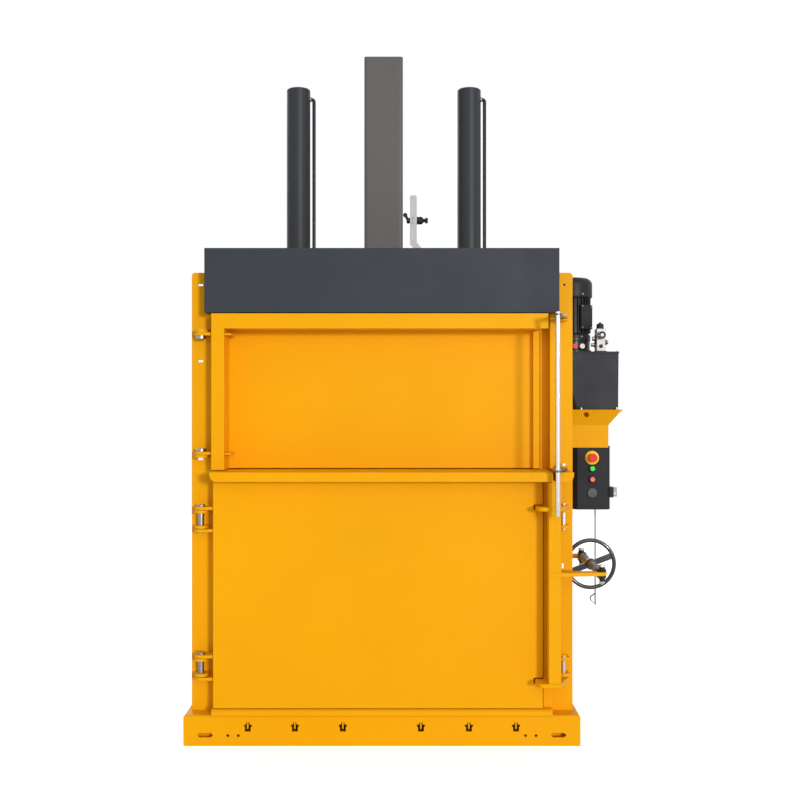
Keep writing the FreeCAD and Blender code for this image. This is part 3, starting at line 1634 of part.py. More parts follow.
def valves():
    """Valve block on the lid with its coil, gauge, plugs and pipe elbow, and the bell's plugs."""
    lid_top = d.shelf_z + d.tank_high + d.lid_thick
    x = d.valve_x
    y = d.valve_y
    block = Piece("valve_block")
    block.pad("XY", rectangle(-20, -24, 20, 30), d.valve_high)
    block.fillet(upright, 3)
    put_at(block.body, x, y, lid_top)
    node(block, "valve_block")
    coil = Piece("valve_coil")
    coil.spin("XZ", polygon([
        (0, 0), (13, 0), (13, 4), (16, 6), (16, 20), (13, 24), (6, 24), (6, 30), (0, 30)]))
    put_at(coil.body, x, y, lid_top + d.valve_high)
    node(coil, "valve_coil")
    gauge = Piece("pressure_gauge")
    gauge.spin("XZ", polygon([
        (0, 0), (6, 0), (6, 10), (14, 12), (17.5, 15), (17.5, 30), (15, 32), (15, 29), (0, 29)]))
    gauge.body.Placement.Rotation = FreeCAD.Rotation(FreeCAD.Vector(1, 0, 0), 90)
    put_at(gauge.body, x, y - 24, lid_top + 77)
    node(gauge, "pressure_gauge")
    plugs = []
    for i, (side, z, r, long) in enumerate(((-1, 62, 10, 16), (-1, 34, 8, 22), (1, 46, 9, 14))):
        start = x - 20 - long if side < 0 else x + 20
        plugs.append(cylinder("plug%d" % i, start, y - 8, lid_top + z, r, long, "x"))
    bell_plugs = []
    for i, dx in enumerate((4, 36)):
        near = d.motor_y - d.bell_r - 12
        plug = cylinder("bell_plug%d" % i, d.motor_x + dx, near, lid_top + 28, 11.5, 40, "y")
        housing = cylinder("bell_seat%d" % i, d.motor_x, d.motor_y, lid_top, d.bell_r, 80)
        bell_plugs.append(cut("bell_plug_cut%d" % i, plug, housing))
    node(bell_plugs[0], "red_plug")
    node(bell_plugs[1], "white_plug")
    return plugs


# --- Control cabinet ------------------------------------------------------------------

def cabinet():
    piece = Piece("control_cabinet")
    near = d.cab_front
    far = d.cab_front + d.cab_deep
    bevel = d.cab_bevel
    skin = d.cab_sheet
    left = d.cab_left
    right = d.cab_right
    piece.pad("XY", polygon([
        (left, near + bevel), (left + bevel, near), (right - bevel, near), (right, near + bevel),
        (right, far), (left, far)]), d.cab_high)
    inner = skin
    piece.cut("XY", polygon([
        (left + inner, near + bevel + inner / 2), (left + bevel + inner / 2, near + inner),
        (right - bevel - inner / 2, near + inner), (right - inner, near + bevel + inner / 2),
        (right - inner, far - inner), (left + inner, far - inner)]),
        d.cab_high - 2 * inner, inner)
    low = d.cab_low
    holes = [circle(d.button_x, z - low, d.stem_r + 1)
             for z in (d.stop_z, d.start_z, d.reset_z, d.buzzer_z)]
    piece.cut("XZ", together(*holes), skin, near)
    put_at(piece.body, 0, 0, low)
    node(piece, "control_cabinet")
    root = d.opening_half + d.column_plate
    brackets = []
    for i, z in enumerate((low + 30, low + d.cab_high - 60)):
        brackets.append(box("cabinet_rail%d" % i, root, near + 90, z, left - root, 40, 30))
    return brackets


def push_button(name, z, bezel, cap, reach, travel, label):
    """A plunger that slides in its bezel; the bezel is a ring on the cabinet's front."""
    piece = Piece(name)
    hole = d.stem_r
    front = reach
    piece.spin("XZ", polygon([
        (0, -34), (hole, -34), (hole, travel + 9), (cap, travel + 9 + 0.5), (cap, front - 2),
        (cap - 2, front), (0, front)]))
    piece.body.Placement.Rotation = FreeCAD.Rotation(FreeCAD.Vector(1, 0, 0), 90)
    put_at(piece.body, d.button_x, d.cab_front, z)
    node(piece, label)


def button_rings():
    """Bezels, the stop button's disc and the buzzer."""
    rings = []
    hole = d.stem_r + d.button_gap
    for name, z, outer, thick in (("start", d.start_z, d.bezel_r, 8), ("reset", d.reset_z, d.bezel_r, 8)):
        ring = Piece(name + "_ring")
        well = d.cap_r + 0.6
        ring.spin("XZ", polygon([
            (hole, 0), (outer, 0), (outer, thick), (outer - 1, thick + 1), (well, thick + 1),
            (well, 4), (hole, 4)]))
        ring.body.Placement.Rotation = FreeCAD.Rotation(FreeCAD.Vector(1, 0, 0), 90)
        put_at(ring.body, d.button_x, d.cab_front, z)
        rings.append(ring.body)
    disc = Piece("stop_disc")
    disc.spin("XZ", polygon([
        (hole, 0), (d.stop_disc_r, 0), (d.stop_disc_r, 2), (d.stop_disc_r - 8, 4),
        (d.stem_r + 7, 4), (d.stem_r + 7, 9), (hole, 9)]))
    disc.body.Placement.Rotation = FreeCAD.Rotation(FreeCAD.Vector(1, 0, 0), 90)
    put_at(disc.body, d.button_x, d.cab_front, d.stop_z)
    node(disc, "stop_disc")
    buzzer = Piece("buzzer")
    buzzer.spin("XZ", polygon([
        (0, -20), (d.stem_r, -20), (d.stem_r, 0), (d.buzzer_r, 0), (d.buzzer_r, 5),
        (d.buzzer_r - 2, 7), (0, 7)]))
    buzzer.body.Placement.Rotation = FreeCAD.Rotation(FreeCAD.Vector(1, 0, 0), 90)
    put_at(buzzer.body, d.button_x, d.cab_front, d.buzzer_z)
    node(buzzer, "buzzer")
    return rings


def main_switch():
    """Rotary main switch on the right side of the cabinet."""
    half = d.switch_side / 2
    base = Piece("main_switch_base")
    base.pad("YZ", rectangle(-half, -half, half, half), d.switch_deep)
    base.cut("YZ", circle(0, 0, 6 + d.button_gap), d.switch_deep)
    put_at(base.body, d.cab_right, d.switch_y, d.switch_z)

    knob = Piece("main_switch_handle")
    knob.pad("YZ", circle(0, 0, 18), 4, 0.5)
    knob.pad("YZ", rectangle(-6, -20, 6, 20), d.handle_deep - 4.5, 4.5)
    knob.cut("YZ", rectangle(-6, -12, 6, -2), d.handle_deep - 10, 7)
    knob.pad("YZ", circle(0, 0, 6), d.switch_deep + 0.5 - 4, 4 - d.switch_deep)
    put_at(knob.body, d.cab_right + d.switch_deep, d.switch_y, d.switch_z)
    node(knob, "main_switch_handle")
    return base.body


def strap_tool():
    """Wire tool for the straps, hung through a clip under the cabinet."""
    x = d.cab_left + d.tool_in
    y = d.cab_front + d.tool_back
    wire = 2.8
    low = d.tool_low
    hang = d.cab_low - d.clip_high
    clip = Piece("tool_clip")
    clip.pad("YZ", polygon([
        (-9, 0), (-9, d.clip_high), (-6, d.clip_high), (-6, 3), (7, 3), (7, 0)]), 12, -6)
    clip.cut("XY", circle(0, 0, wire + 0.5), 3)
    put_at(clip.body, x, y, hang)
    rod = Piece("strap_wire")
    rod.spin("XZ", polygon([
        (0, low - hang), (wire, low - hang), (wire, 3.3), (wire + 2, 3.3),
        (wire + 2, 6.5), (0, 6.5)]))
    put_at(rod.body, x, y, hang)
    loop = Piece("strap_loop")
    loop.pad("XZ", together(
        polygon([(wire, -2), (wire, 52), (-4, 52), (-24, 36), (-24, 22)]),
        polygon([(-wire, 6), (-wire, 45), (-19, 33), (-19, 24)])), 2 * wire, -wire)
    put_at(loop.body, x, y, low)
    node(fuse("strap_tool_whole", rod.body, loop.body), "strap_tool")
    return clip.body


# --- Limit switch ---------------------------------------------------------------------

def limit_switch():
    """Cranked strip on the head with a roller switch behind it, next to the mast."""
    piece = Piece("strip_plate")
    x = d.strip_x
    half = d.strip_wide / 2
    low = head_top
    lean = d.strip_lean
    top = d.strip_top - low
    bend = d.strip_bend - low
    piece.pad("XZ", polygon([
        (x - half + lean, 0), (x + half + lean, 0), (x + half + lean, bend - lean - 6),
        (x + half, bend), (x + half, top - 6), (x + half - 6, top),
        (x - half + 6, top), (x - half, top - 6), (x - half, bend - 8),
        (x - half + lean, bend - lean - 14)]), d.strip_thick)
    holes = []
    for i in range(SIZES["strip_holes"]):
        holes.append(circle(x - 4, bend + 14 + i * d.strip_pitch, 1.9))
    piece.cut("XZ", together(*holes), d.strip_thick)
    foot = Piece("switch_foot")
    foot.pad("XY", rectangle(x - half + lean, 0, x + half + lean, 34), 5)
    put_at(foot.body, 0, d.strip_y + d.strip_thick, low)
    put_at(piece.body, 0, d.strip_y, low)
    node(fuse("switch_strip_whole", piece.body, foot.body), "switch_strip")
    z = d.switch_mid
    back = d.strip_y + d.strip_thick
    y = back + d.switch_r
    start = d.strip_x - d.strip_wide
    body = Piece("switch_case")
    r = d.switch_r
    body.spin("XZ", polygon([
        (0, 0), (13, 0), (13, 16), (r, 19), (r, 70), (8, 79), (8, 84), (13, 87), (13, 95),
        (10, 98), (0, 98)]))
    body.body.Placement.Rotation = TURNS["x"]
    put_at(body.body, start, y, z)
    bore = cylinder("lever_bore", d.lever_x, y - 20, z, 4 + d.lever_gap, 20, "y")
    node(cut("limit_switch_cut", body.body, bore), "limit_switch")
    lever = Piece("switch_lever")
    reach_x = d.roller_x - d.lever_x
    reach_z = d.roller_z - d.switch_mid
    lever.pad("XZ", polygon([
        (-6, -7), (6, -7), (7, 0), (5, 6), (reach_x + 5, reach_z + 3), (reach_x - 1, reach_z + 5),
        (reach_x - 5, reach_z - 1), (-7, 0)]), 4)
    lever.pad("XZ", circle(0, 0, 4), d.switch_r - 4.5, 4)
    lever.pad("XZ", circle(reach_x, reach_z, d.roller_bore), 6, -6)
    lever.pad("XZ", together(circle(reach_x, reach_z, d.roller_r),
                             circle(reach_x, reach_z, d.roller_bore)), 5.5, -5.8)
    put_at(lever.body, d.lever_x, back, z)
    node(lever, "switch_lever")


def build():
    base_frame()
    chamber_floor()
    left_slots = [(d.opening_half + d.flange_width - d.peep_in, z, d.peep_long, d.peep_high)
                  for z in (d.peep_z_top, d.peep_z_middle, d.peep_z_bottom)]
    side_frame(-1, "side_frame_left", left_slots)
    right_slots = [(inner_face + d.peep_x_right, d.peep_z_right, d.peep_high, d.peep_high),
                   (inner_face + d.slot_x_right, d.slot_z_right, d.peep_high, d.peep_long)]
    side_frame(1, "side_frame_right", right_slots)
    rear_wall()
    head_frame()
    bolts = head_cover()
    mast_guides()
    cylinders()
    hydraulic_pipes()
    fittings = port_fittings()
    ram_mast()
    platen()
    door_lining()
    door_ledge()
    door_ears, door_pins = door_hinges(door_panel())
    hatch_panel()
    hatch_ears, hatch_pins = hatch_hinges(hatch_frame())
    node(group("left_hinge_ears", door_ears + hatch_ears), "left_hinge_ears")
    node(group("left_hinge_pins", door_pins + hatch_pins), "left_hinge_pins")
    bar = lock_bar()
    lock_claws(bar)
    lock_arm(bar)
    latch()
    lock_eyes, lock_pins = lock_ears()
    latch_eyes, latch_pins = latch_seats()
    node(group("right_hinge_ears", lock_eyes + latch_eyes), "right_hinge_ears")
    node(group("right_hinge_pins", lock_pins + latch_pins), "right_hinge_pins")
    fork("front_fork", -d.screw_front, 1)
    fork("rear_fork", d.screw_back, -1)
    screw_sleeve()
    hand_wheel()
    screw_lug()
    tank_shelf()
    bolts += oil_tank()
    motor()
    fittings += valves()
    node(group("mounting_bolts", bolts), "mounting_bolts")
    node(group("pipe_fittings", fittings), "pipe_fittings")
    brackets = cabinet()
    push_button("stop_button", d.stop_z, d.stop_disc_r, d.stop_head_r, 30, d.stop_travel, "stop_button")
    push_button("start_button", d.start_z, d.bezel_r, d.cap_r, 16, d.button_travel, "start_button")
    push_button("reset_button", d.reset_z, d.bezel_r, d.cap_r, 16, d.button_travel, "reset_button")
    trims = button_rings()
    trims.append(main_switch())
    trims.append(strap_tool())
    node(group("cabinet_trims", trims), "cabinet_trims")
    node(group("cabinet_brackets", brackets), "cabinet_brackets")
    limit_switch()


build()
doc.recompute()

for obj in doc.Objects:
    if "Invalid" in obj.State or "Error" in obj.State:
        raise RuntimeError("%s is %s" % (obj.Label, obj.State))
for obj in NODES:
    if obj.Shape.isNull() or not obj.Shape.isValid():
        raise RuntimeError("%s has no valid shape" % obj.Label)
    obj.Shape.exportStep("parts/%s.step" % obj.Label)
print("%d nodes" % len(NODES))
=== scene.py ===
import bmesh
import bpy
import json
import math
import random
from mathutils import Matrix, Vector


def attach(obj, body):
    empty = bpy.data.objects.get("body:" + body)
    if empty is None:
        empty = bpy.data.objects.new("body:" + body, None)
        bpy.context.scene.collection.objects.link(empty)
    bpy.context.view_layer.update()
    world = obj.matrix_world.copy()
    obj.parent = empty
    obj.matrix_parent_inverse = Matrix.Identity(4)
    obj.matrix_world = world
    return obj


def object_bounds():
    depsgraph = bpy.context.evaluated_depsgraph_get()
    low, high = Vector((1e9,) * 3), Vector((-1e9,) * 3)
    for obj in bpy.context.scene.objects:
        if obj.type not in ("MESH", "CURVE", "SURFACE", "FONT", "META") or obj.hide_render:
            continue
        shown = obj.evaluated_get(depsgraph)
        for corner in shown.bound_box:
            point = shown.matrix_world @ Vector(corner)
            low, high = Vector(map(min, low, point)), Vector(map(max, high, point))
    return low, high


# The looks of an upright recycling baler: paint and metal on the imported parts, and the
# small hardware that the solids leave out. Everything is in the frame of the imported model:
# X to the right, Y to the back, Z up. The camera, lights and materials are in metres. The
# small hardware is worked out from the boxes of the solids in millimetres, and at() turns
# its places into metres.

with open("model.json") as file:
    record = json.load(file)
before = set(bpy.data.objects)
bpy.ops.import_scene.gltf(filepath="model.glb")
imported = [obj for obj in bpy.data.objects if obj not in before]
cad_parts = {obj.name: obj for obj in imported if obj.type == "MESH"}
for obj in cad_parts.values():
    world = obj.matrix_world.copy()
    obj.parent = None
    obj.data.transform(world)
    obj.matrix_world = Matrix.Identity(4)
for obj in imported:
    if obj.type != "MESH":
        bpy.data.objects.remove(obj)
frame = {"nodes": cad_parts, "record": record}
cad_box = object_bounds()
nodes = frame["nodes"]
random.seed(7)

# --- Camera, lights and stage ---------------------------------------------------------

CAMERA_AT = (0.0744, -4.6406, 1.4186)
LENS_MM = 50
SENSOR_MM = 36
SIGHT = 60  # how far the camera sees

# Name, kind, energy, place, the place it is aimed at, and the softness of its shadows.
LIGHTS = (
    ("key", "SUN", 1.54, (2.05, -4.6, 2.0), (0, 0, 1.4), {"angle": math.radians(7)}),
    ("back", "SUN", 0.85, (-2.4, 4.4, 3.6), (0, 0, 1.2), {"angle": math.radians(50)}),
    ("fill", "AREA", 34, (0.9, -4.6, 2.7), (0.1, 0, 1.7), {"size": 2.4}),
)

STUDIO_STRENGTH = 0.52
STUDIO_LOW = (0.30, (0.55, 0.56, 0.58, 1))  # share of the height, and the grey up to there
STUDIO_HIGH = (0.72, (1, 1, 1, 1))

FLOOR_HALF = 9.0
FLOOR_GAP = 0.0005
FLOOR_GREY = (0.90, 0.90, 0.90, 1)
FLOOR_LIFT = 0.6  # light added to the floor, so that it meets the white background


def make_camera():
    data = bpy.data.cameras.new("camera")
    data.lens = LENS_MM
    data.sensor_width = SENSOR_MM
    data.clip_end = SIGHT
    camera = bpy.data.objects.new("camera", data)
    camera.location = CAMERA_AT
    camera.rotation_euler = (math.pi / 2, 0, 0)
    bpy.context.collection.objects.link(camera)
    bpy.context.scene.camera = camera


def make_lights():
    for name, kind, energy, place, target, softness in LIGHTS:
        data = bpy.data.lights.new(name, kind)
        data.energy = energy
        for key, value in softness.items():
            setattr(data, key, value)
        light = bpy.data.objects.new(name, data)
        light.location = place
        aim = Vector(target) - Vector(place)
        light.rotation_euler = aim.to_track_quat("-Z", "Y").to_euler()
        bpy.context.collection.objects.link(light)


def add_math(tree, operation, *values):
    """A math node. Each value is a number or the output that feeds that input."""
    node = tree.nodes.new("ShaderNodeMath")
    node.operation = operation
    for socket, value in zip(node.inputs, values):
        if isinstance(value, bpy.types.NodeSocket):
            tree.links.new(value, socket)
        else:
            socket.default_value = value
    return node.outputs[0]


def pale_rays(tree, path):
    """One for the rays that should see the plain white background."""
    total = path.outputs["Is Camera Ray"]
    for ray in ("Is Glossy Ray", "Is Transmission Ray"):
        total = add_math(tree, "MAXIMUM", total, path.outputs[ray])
    return total


def studio_light(tree):
    """A soft studio: greyer below, white above."""
    studio = tree.nodes.new("ShaderNodeBackground")
    studio.inputs["Strength"].default_value = STUDIO_STRENGTH
    coords = tree.nodes.new("ShaderNodeTexCoord")
    split = tree.nodes.new("ShaderNodeSeparateXYZ")
    ramp = tree.nodes.new("ShaderNodeValToRGB")
    for stop, (position, color) in zip(ramp.color_ramp.elements, (STUDIO_LOW, STUDIO_HIGH)):
        stop.position = position
        stop.color = color
    tree.links.new(coords.outputs["Generated"], split.inputs[0])
    height = add_math(tree, "MULTIPLY_ADD", split.outputs["Z"], 0.5, 0.5)
    tree.links.new(height, ramp.inputs[0])
    tree.links.new(ramp.outputs[0], studio.inputs["Color"])
    return studio.outputs[0]


def make_world():
    """White to the camera, and the studio for everything else."""
    world = bpy.data.worlds.new("studio")
    bpy.context.scene.world = world
    world.use_nodes = True
    tree = world.node_tree
    tree.nodes.clear()
    out = tree.nodes.new("ShaderNodeOutputWorld")
    mix = tree.nodes.new("ShaderNodeMixShader")
    path = tree.nodes.new("ShaderNodeLightPath")
    seen = tree.nodes.new("ShaderNodeBackground")
    seen.inputs["Color"].default_value = (1, 1, 1, 1)
    seen.inputs["Strength"].default_value = 1.0
    tree.links.new(pale_rays(tree, path), mix.inputs[0])
    tree.links.new(studio_light(tree), mix.inputs[1])
    tree.links.new(seen.outputs[0], mix.inputs[2])
    tree.links.new(mix.outputs[0], out.inputs[0])


def make_stage():
    """A pale floor that takes the shadow and otherwise melts into the background."""
    mesh = bpy.data.meshes.new("floor")
    half = FLOOR_HALF
    mesh.from_pydata([(-half, -half, 0), (half, -half, 0), (half, half, 0), (-half, half, 0)],
                     [], [(0, 1, 2, 3)])
    floor = bpy.data.objects.new("floor", mesh)
    floor.location = (0, 0, cad_box[0][2] - FLOOR_GAP)
    bpy.context.collection.objects.link(floor)
    material = bpy.data.materials.new("floor")
    material.use_nodes = True
    tree = material.node_tree
    shader = tree.nodes["Principled BSDF"]
    shader.inputs["Base Color"].default_value = FLOOR_GREY
    shader.inputs["Roughness"].default_value = 0.8
    shader.inputs["Specular IOR Level"].default_value = 0.1
    pale = tree.nodes.new("ShaderNodeEmission")
    path = tree.nodes.new("ShaderNodeLightPath")
    both = tree.nodes.new("ShaderNodeAddShader")
    lift = add_math(tree, "MULTIPLY", path.outputs["Is Camera Ray"], FLOOR_LIFT)
    tree.links.new(lift, pale.inputs["Strength"])
    tree.links.new(shader.outputs[0], both.inputs[0])
    tree.links.new(pale.outputs[0], both.inputs[1])
    tree.links.new(both.outputs[0], tree.nodes["Material Output"].inputs[0])
    mesh.materials.append(material)


# --- Materials ------------------------------------------------------------------------

EDGE_SAMPLES = 6  # rays that a rounded or worn edge is found with
SMOOTH_ANGLE = math.radians(28)  # faces that meet at less are shaded as one
LIGHTER = 0.6  # how far light patches go, as a share of the dark ones
EDGE_RANGE = (0.90, 0.995)  # cosines between a face and its rounded edge: worn, not worn
PATCH_SIZE = 14  # worn patches per metre
PATCH_RANGE = (0.5, 0.68)  # pattern levels where wear starts and is full


class Look:
    """A procedural material, put together from a few settings.

    Scales count pattern cells per metre. Reliefs and roundings are in metres.
    """

    def __init__(self, name, color, roughness, metallic=0.0, gloss=0.14):
        self.name = name
        self.material = bpy.data.materials.new(name)
        self.material.use_nodes = True
        self.tree = self.material.node_tree
        self.shader = self.tree.nodes["Principled BSDF"]
        self.color = color
        self.shade = None
        self.shader.inputs["Base Color"].default_value = (*color, 1)
        self.shader.inputs["Roughness"].default_value = roughness
        self.shader.inputs["Metallic"].default_value = metallic
        if not metallic:
            self.shader.inputs["Specular IOR Level"].default_value = gloss
        self.coords = self.tree.nodes.new("ShaderNodeTexCoord")

    def link(self, source, target):
        self.tree.links.new(source, target)

    def noise(self, scale, detail, stretch=(1, 1, 1)):
        """A 0 to 1 pattern, drawn out along an axis where its stretch is small."""
        mapping = self.tree.nodes.new("ShaderNodeMapping")
        mapping.inputs["Scale"].default_value = stretch
        self.link(self.coords.outputs["Object"], mapping.inputs["Vector"])
        noise = self.tree.nodes.new("ShaderNodeTexNoise")
        noise.inputs["Scale"].default_value = scale
        noise.inputs["Detail"].default_value = detail
        self.link(mapping.outputs["Vector"], noise.inputs["Vector"])
        return noise.outputs["Fac"]

    def spread(self, value, low, high, low_at=0.35, high_at=0.65):
        """Maps the part of a pattern between two levels to a range."""
        node = self.tree.nodes.new("ShaderNodeMapRange")
        node.inputs["From Min"].default_value = low_at
        node.inputs["From Max"].default_value = high_at
        node.inputs["To Min"].default_value = low
        node.inputs["To Max"].default_value = high
        self.link(value, node.inputs["Value"])
        return node.outputs["Result"]

    def bevel(self, radius):
        """The surface direction as it would be with the edges rounded."""
        node = self.tree.nodes.new("ShaderNodeBevel")
        node.samples = EDGE_SAMPLES
        node.inputs["Radius"].default_value = radius
        return node.outputs["Normal"]

    def blend(self, factor, under, over):
        """Sets the colour to a blend. Each colour is a value or a colour output."""
        mix = self.tree.nodes.new("ShaderNodeMix")
        mix.data_type = "RGBA"
        self.link(factor, mix.inputs["Factor"])
        for name, color in (("A", under), ("B", over)):
            if isinstance(color, bpy.types.NodeSocket):
                self.link(color, mix.inputs[name])
            else:
                mix.inputs[name].default_value = (*color, 1)
        self.shade = mix.outputs["Result"]
        self.link(self.shade, self.shader.inputs["Base Color"])

    def mottle(self, scale, amount, stretch=(1, 1, 1)):
        """Lets the colour drift a little over the surface."""
        dark = [c * (1 - amount) for c in self.color]
        light = [min(1, c * (1 + amount * LIGHTER)) for c in self.color]
        pattern = self.noise(scale, detail=4, stretch=stretch)
        self.blend(self.spread(pattern, 0, 1), dark, light)
        return self

    def grain(self, scale, low, high, stretch=(1, 1, 1)):
        """Lets the gloss vary."""
        rough = self.spread(self.noise(scale, detail=5, stretch=stretch), low, high)
        self.link(rough, self.shader.inputs["Roughness"])
        return self

    def relief(self, scale, strength, distance, stretch=(1, 1, 1), rounding=0.0):
        """Fine surface relief, over edges that are rounded by the given radius."""
        bump = self.tree.nodes.new("ShaderNodeBump")
        bump.inputs["Strength"].default_value = strength
        bump.inputs["Distance"].default_value = distance
        self.link(self.noise(scale, detail=2, stretch=stretch), bump.inputs["Height"])
        if rounding:
            self.link(self.bevel(rounding), bump.inputs["Normal"])
        self.link(bump.outputs["Normal"], self.shader.inputs["Normal"])
        return self

    def worn(self, color, width, amount):
        """Edges rub through to a lighter tone, in patches."""
        geometry = self.tree.nodes.new("ShaderNodeNewGeometry")
        dot = self.tree.nodes.new("ShaderNodeVectorMath")
        dot.operation = "DOT_PRODUCT"
        self.link(self.bevel(width), dot.inputs[0])
        self.link(geometry.outputs["Normal"], dot.inputs[1])
        edge = self.spread(dot.outputs["Value"], 1, 0, *EDGE_RANGE)
        patch = self.spread(self.noise(PATCH_SIZE, detail=5), 0, amount, *PATCH_RANGE)
        self.blend(add_math(self.tree, "MULTIPLY", edge, patch), self.shade, color)
        return self

    def coat(self, weight, roughness):
        """A clear layer on top."""
        self.shader.inputs["Coat Weight"].default_value = weight
        self.shader.inputs["Coat Roughness"].default_value = roughness
        return self

    def graze(self, tint):
        """Tints the metal where it is seen at a low angle."""
        self.shader.inputs["Specular Tint"].default_value = (*tint, 1)
        return self


YELLOW = (0.85, 0.384, 0.001)
CHARCOAL = (0.037, 0.042, 0.053)

LOOKS = {look.name: look for look in (
    # Paint
    Look("yellow_paint", YELLOW, 0.42, gloss=0.08).mottle(1.6, 0.035).grain(5, 0.36, 0.48)
    .relief(420, 0.10, 0.0004, rounding=0.0025).worn((0.98, 0.62, 0.16), 0.003, 0.55),
    Look("grey_paint", CHARCOAL, 0.45).mottle(2.2, 0.06).grain(6, 0.40, 0.52)
    .relief(420, 0.10, 0.0004, rounding=0.0025).worn((0.11, 0.12, 0.14), 0.003, 0.5),
    Look("mast_paint", (0.125, 0.119, 0.114), 0.40).mottle(1.3, 0.10, (1, 1, 0.3))
    .grain(4, 0.32, 0.5, (1, 1, 0.3)).relief(260, 0.12, 0.0004, rounding=0.006),
    Look("barrel_paint", (0.040, 0.043, 0.050), 0.40).mottle(1.2, 0.06, (1, 1, 0.3))
    .grain(4, 0.34, 0.46, (1, 1, 0.3)).relief(260, 0.08, 0.0003, rounding=0.004),
    Look("tank_paint", (0.037, 0.039, 0.047), 0.5).mottle(3, 0.08).grain(7, 0.42, 0.58)
    .relief(500, 0.16, 0.0004, rounding=0.003),
    Look("motor_paint", (0.023, 0.024, 0.027), 0.40).mottle(12, 0.15).grain(20, 0.32, 0.5)
    .relief(300, 0.15, 0.0003, rounding=0.0012),
    Look("wheel_paint", (0.030, 0.030, 0.034), 0.22, gloss=0.5).mottle(20, 0.1)
    .grain(25, 0.16, 0.28).relief(300, 0.04, 0.0002, rounding=0.0015).coat(0.6, 0.06),
    # Metal
    Look("bright_steel", (0.36, 0.36, 0.37), 0.30, 1.0).mottle(30, 0.10, (1, 1, 8))
    .grain(40, 0.22, 0.42, (1, 1, 10)).relief(300, 0.10, 0.0002, (1, 1, 12), 0.0012),
    Look("plate_steel", (0.33, 0.32, 0.31), 0.42, 1.0).mottle(4, 0.25)
    .grain(9, 0.30, 0.58, (1, 6, 1)).relief(160, 0.16, 0.0004, (1, 8, 1), 0.002),
    Look("chrome", (0.78, 0.78, 0.79), 0.14, 1.0).mottle(12, 0.03, (1, 1, 4))
    .grain(60, 0.10, 0.19, (1, 1, 20)).relief(500, 0.03, 0.0001, (1, 1, 20), 0.001)
    .graze((0.12, 0.12, 0.13)),
    Look("zinc", (0.47, 0.475, 0.49), 0.5, 0.15).mottle(70, 0.03).grain(60, 0.44, 0.54)
    .relief(300, 0.12, 0.0002, rounding=0.0008),
    Look("sleeve_steel", (0.23, 0.24, 0.265), 0.42).mottle(40, 0.14).grain(60, 0.34, 0.5)
    .relief(300, 0.14, 0.0003, rounding=0.001),
    Look("pin_steel", (0.72, 0.71, 0.69), 0.26, 1.0).mottle(30, 0.03, (1, 1, 8))
    .grain(40, 0.20, 0.34, (1, 1, 10)).relief(300, 0.08, 0.0002, rounding=0.001),
    Look("arm_steel", (0.16, 0.15, 0.145), 0.34, 1.0).mottle(25, 0.3).grain(30, 0.26, 0.44)
    .relief(200, 0.12, 0.0003, rounding=0.0012),
    Look("wire_steel", (0.15, 0.15, 0.16), 0.36, 1.0).mottle(60, 0.12, (1, 1, 0.2))
    .grain(60, 0.3, 0.44, (1, 1, 0.2)).relief(300, 0.08, 0.0002),
    Look("valve_metal", (0.50, 0.50, 0.50), 0.42, 0.25).mottle(50, 0.10).grain(40, 0.32, 0.48)
    .relief(260, 0.16, 0.0003, rounding=0.0014),
    Look("black_metal", (0.022, 0.022, 0.024), 0.34).mottle(20, 0.2).grain(25, 0.26, 0.44)
    .relief(300, 0.10, 0.0003, rounding=0.0015).coat(0.1, 0.2),
    # Plastic
    Look("black_plastic", (0.026, 0.026, 0.029), 0.48).mottle(30, 0.12).grain(50, 0.42, 0.56)
    .relief(700, 0.20, 0.0002, rounding=0.001),
    Look("black_case", (0.019, 0.019, 0.022), 0.46).mottle(3, 0.10).grain(8, 0.38, 0.54)
    .relief(600, 0.22, 0.0003, rounding=0.0025),
    Look("grey_plastic", (0.115, 0.115, 0.118), 0.55).mottle(40, 0.14).grain(60, 0.48, 0.62)
    .relief(500, 0.18, 0.0002, rounding=0.0008),
    Look("guide_plastic", (0.02, 0.085, 0.035), 0.6).mottle(20, 0.1).grain(20, 0.5, 0.7)
    .relief(300, 0.2, 0.0003, rounding=0.001),
    Look("red_plastic", (0.82, 0.030, 0.018), 0.26).mottle(10, 0.05).grain(40, 0.22, 0.32)
    .relief(500, 0.05, 0.0001, rounding=0.001).coat(0.5, 0.08),
    Look("orange_plastic", (1.0, 0.20, 0.10), 0.24).mottle(10, 0.05).grain(40, 0.2, 0.3)
    .relief(500, 0.05, 0.0001, rounding=0.001).coat(0.5, 0.08),
    Look("green_plastic", (0.06, 0.90, 0.09), 0.24).mottle(10, 0.05).grain(40, 0.2, 0.3)
    .relief(500, 0.05, 0.0001, rounding=0.001).coat(0.5, 0.08),
    Look("yellow_plastic", (0.96, 0.62, 0.03), 0.34).mottle(12, 0.05).grain(40, 0.3, 0.4)
    .relief(500, 0.05, 0.0001, rounding=0.001),
    Look("white_plastic", (0.86, 0.86, 0.84), 0.34).mottle(12, 0.03).grain(40, 0.3, 0.4)
    .relief(500, 0.05, 0.0001, rounding=0.001),
    Look("switch_face", (0.44, 0.44, 0.43), 0.4).mottle(30, 0.05).grain(40, 0.34, 0.46)
    .relief(500, 0.05, 0.0001, rounding=0.0008),
)}

# Nodes whose look isn't the one with the name of their slot.
NODE_LOOKS = {
    "oil_tank": "tank_paint", "tank_lid": "tank_paint", "press_plate": "plate_steel",
    "main_switch_handle": "switch_face", "cylinder_barrels": "barrel_paint",
    "latch_arms": "arm_steel", "hand_wheel": "wheel_paint", "right_hinge_pins": "pin_steel",
    "screw_sleeve": "sleeve_steel", "strap_tool": "wire_steel", "valve_block": "valve_metal",
}


def shade_smooth(obj):
    mesh = obj.data
    mesh.polygons.foreach_set("use_smooth", [True] * len(mesh.polygons))
    mesh.set_sharp_from_angle(angle=SMOOTH_ANGLE)


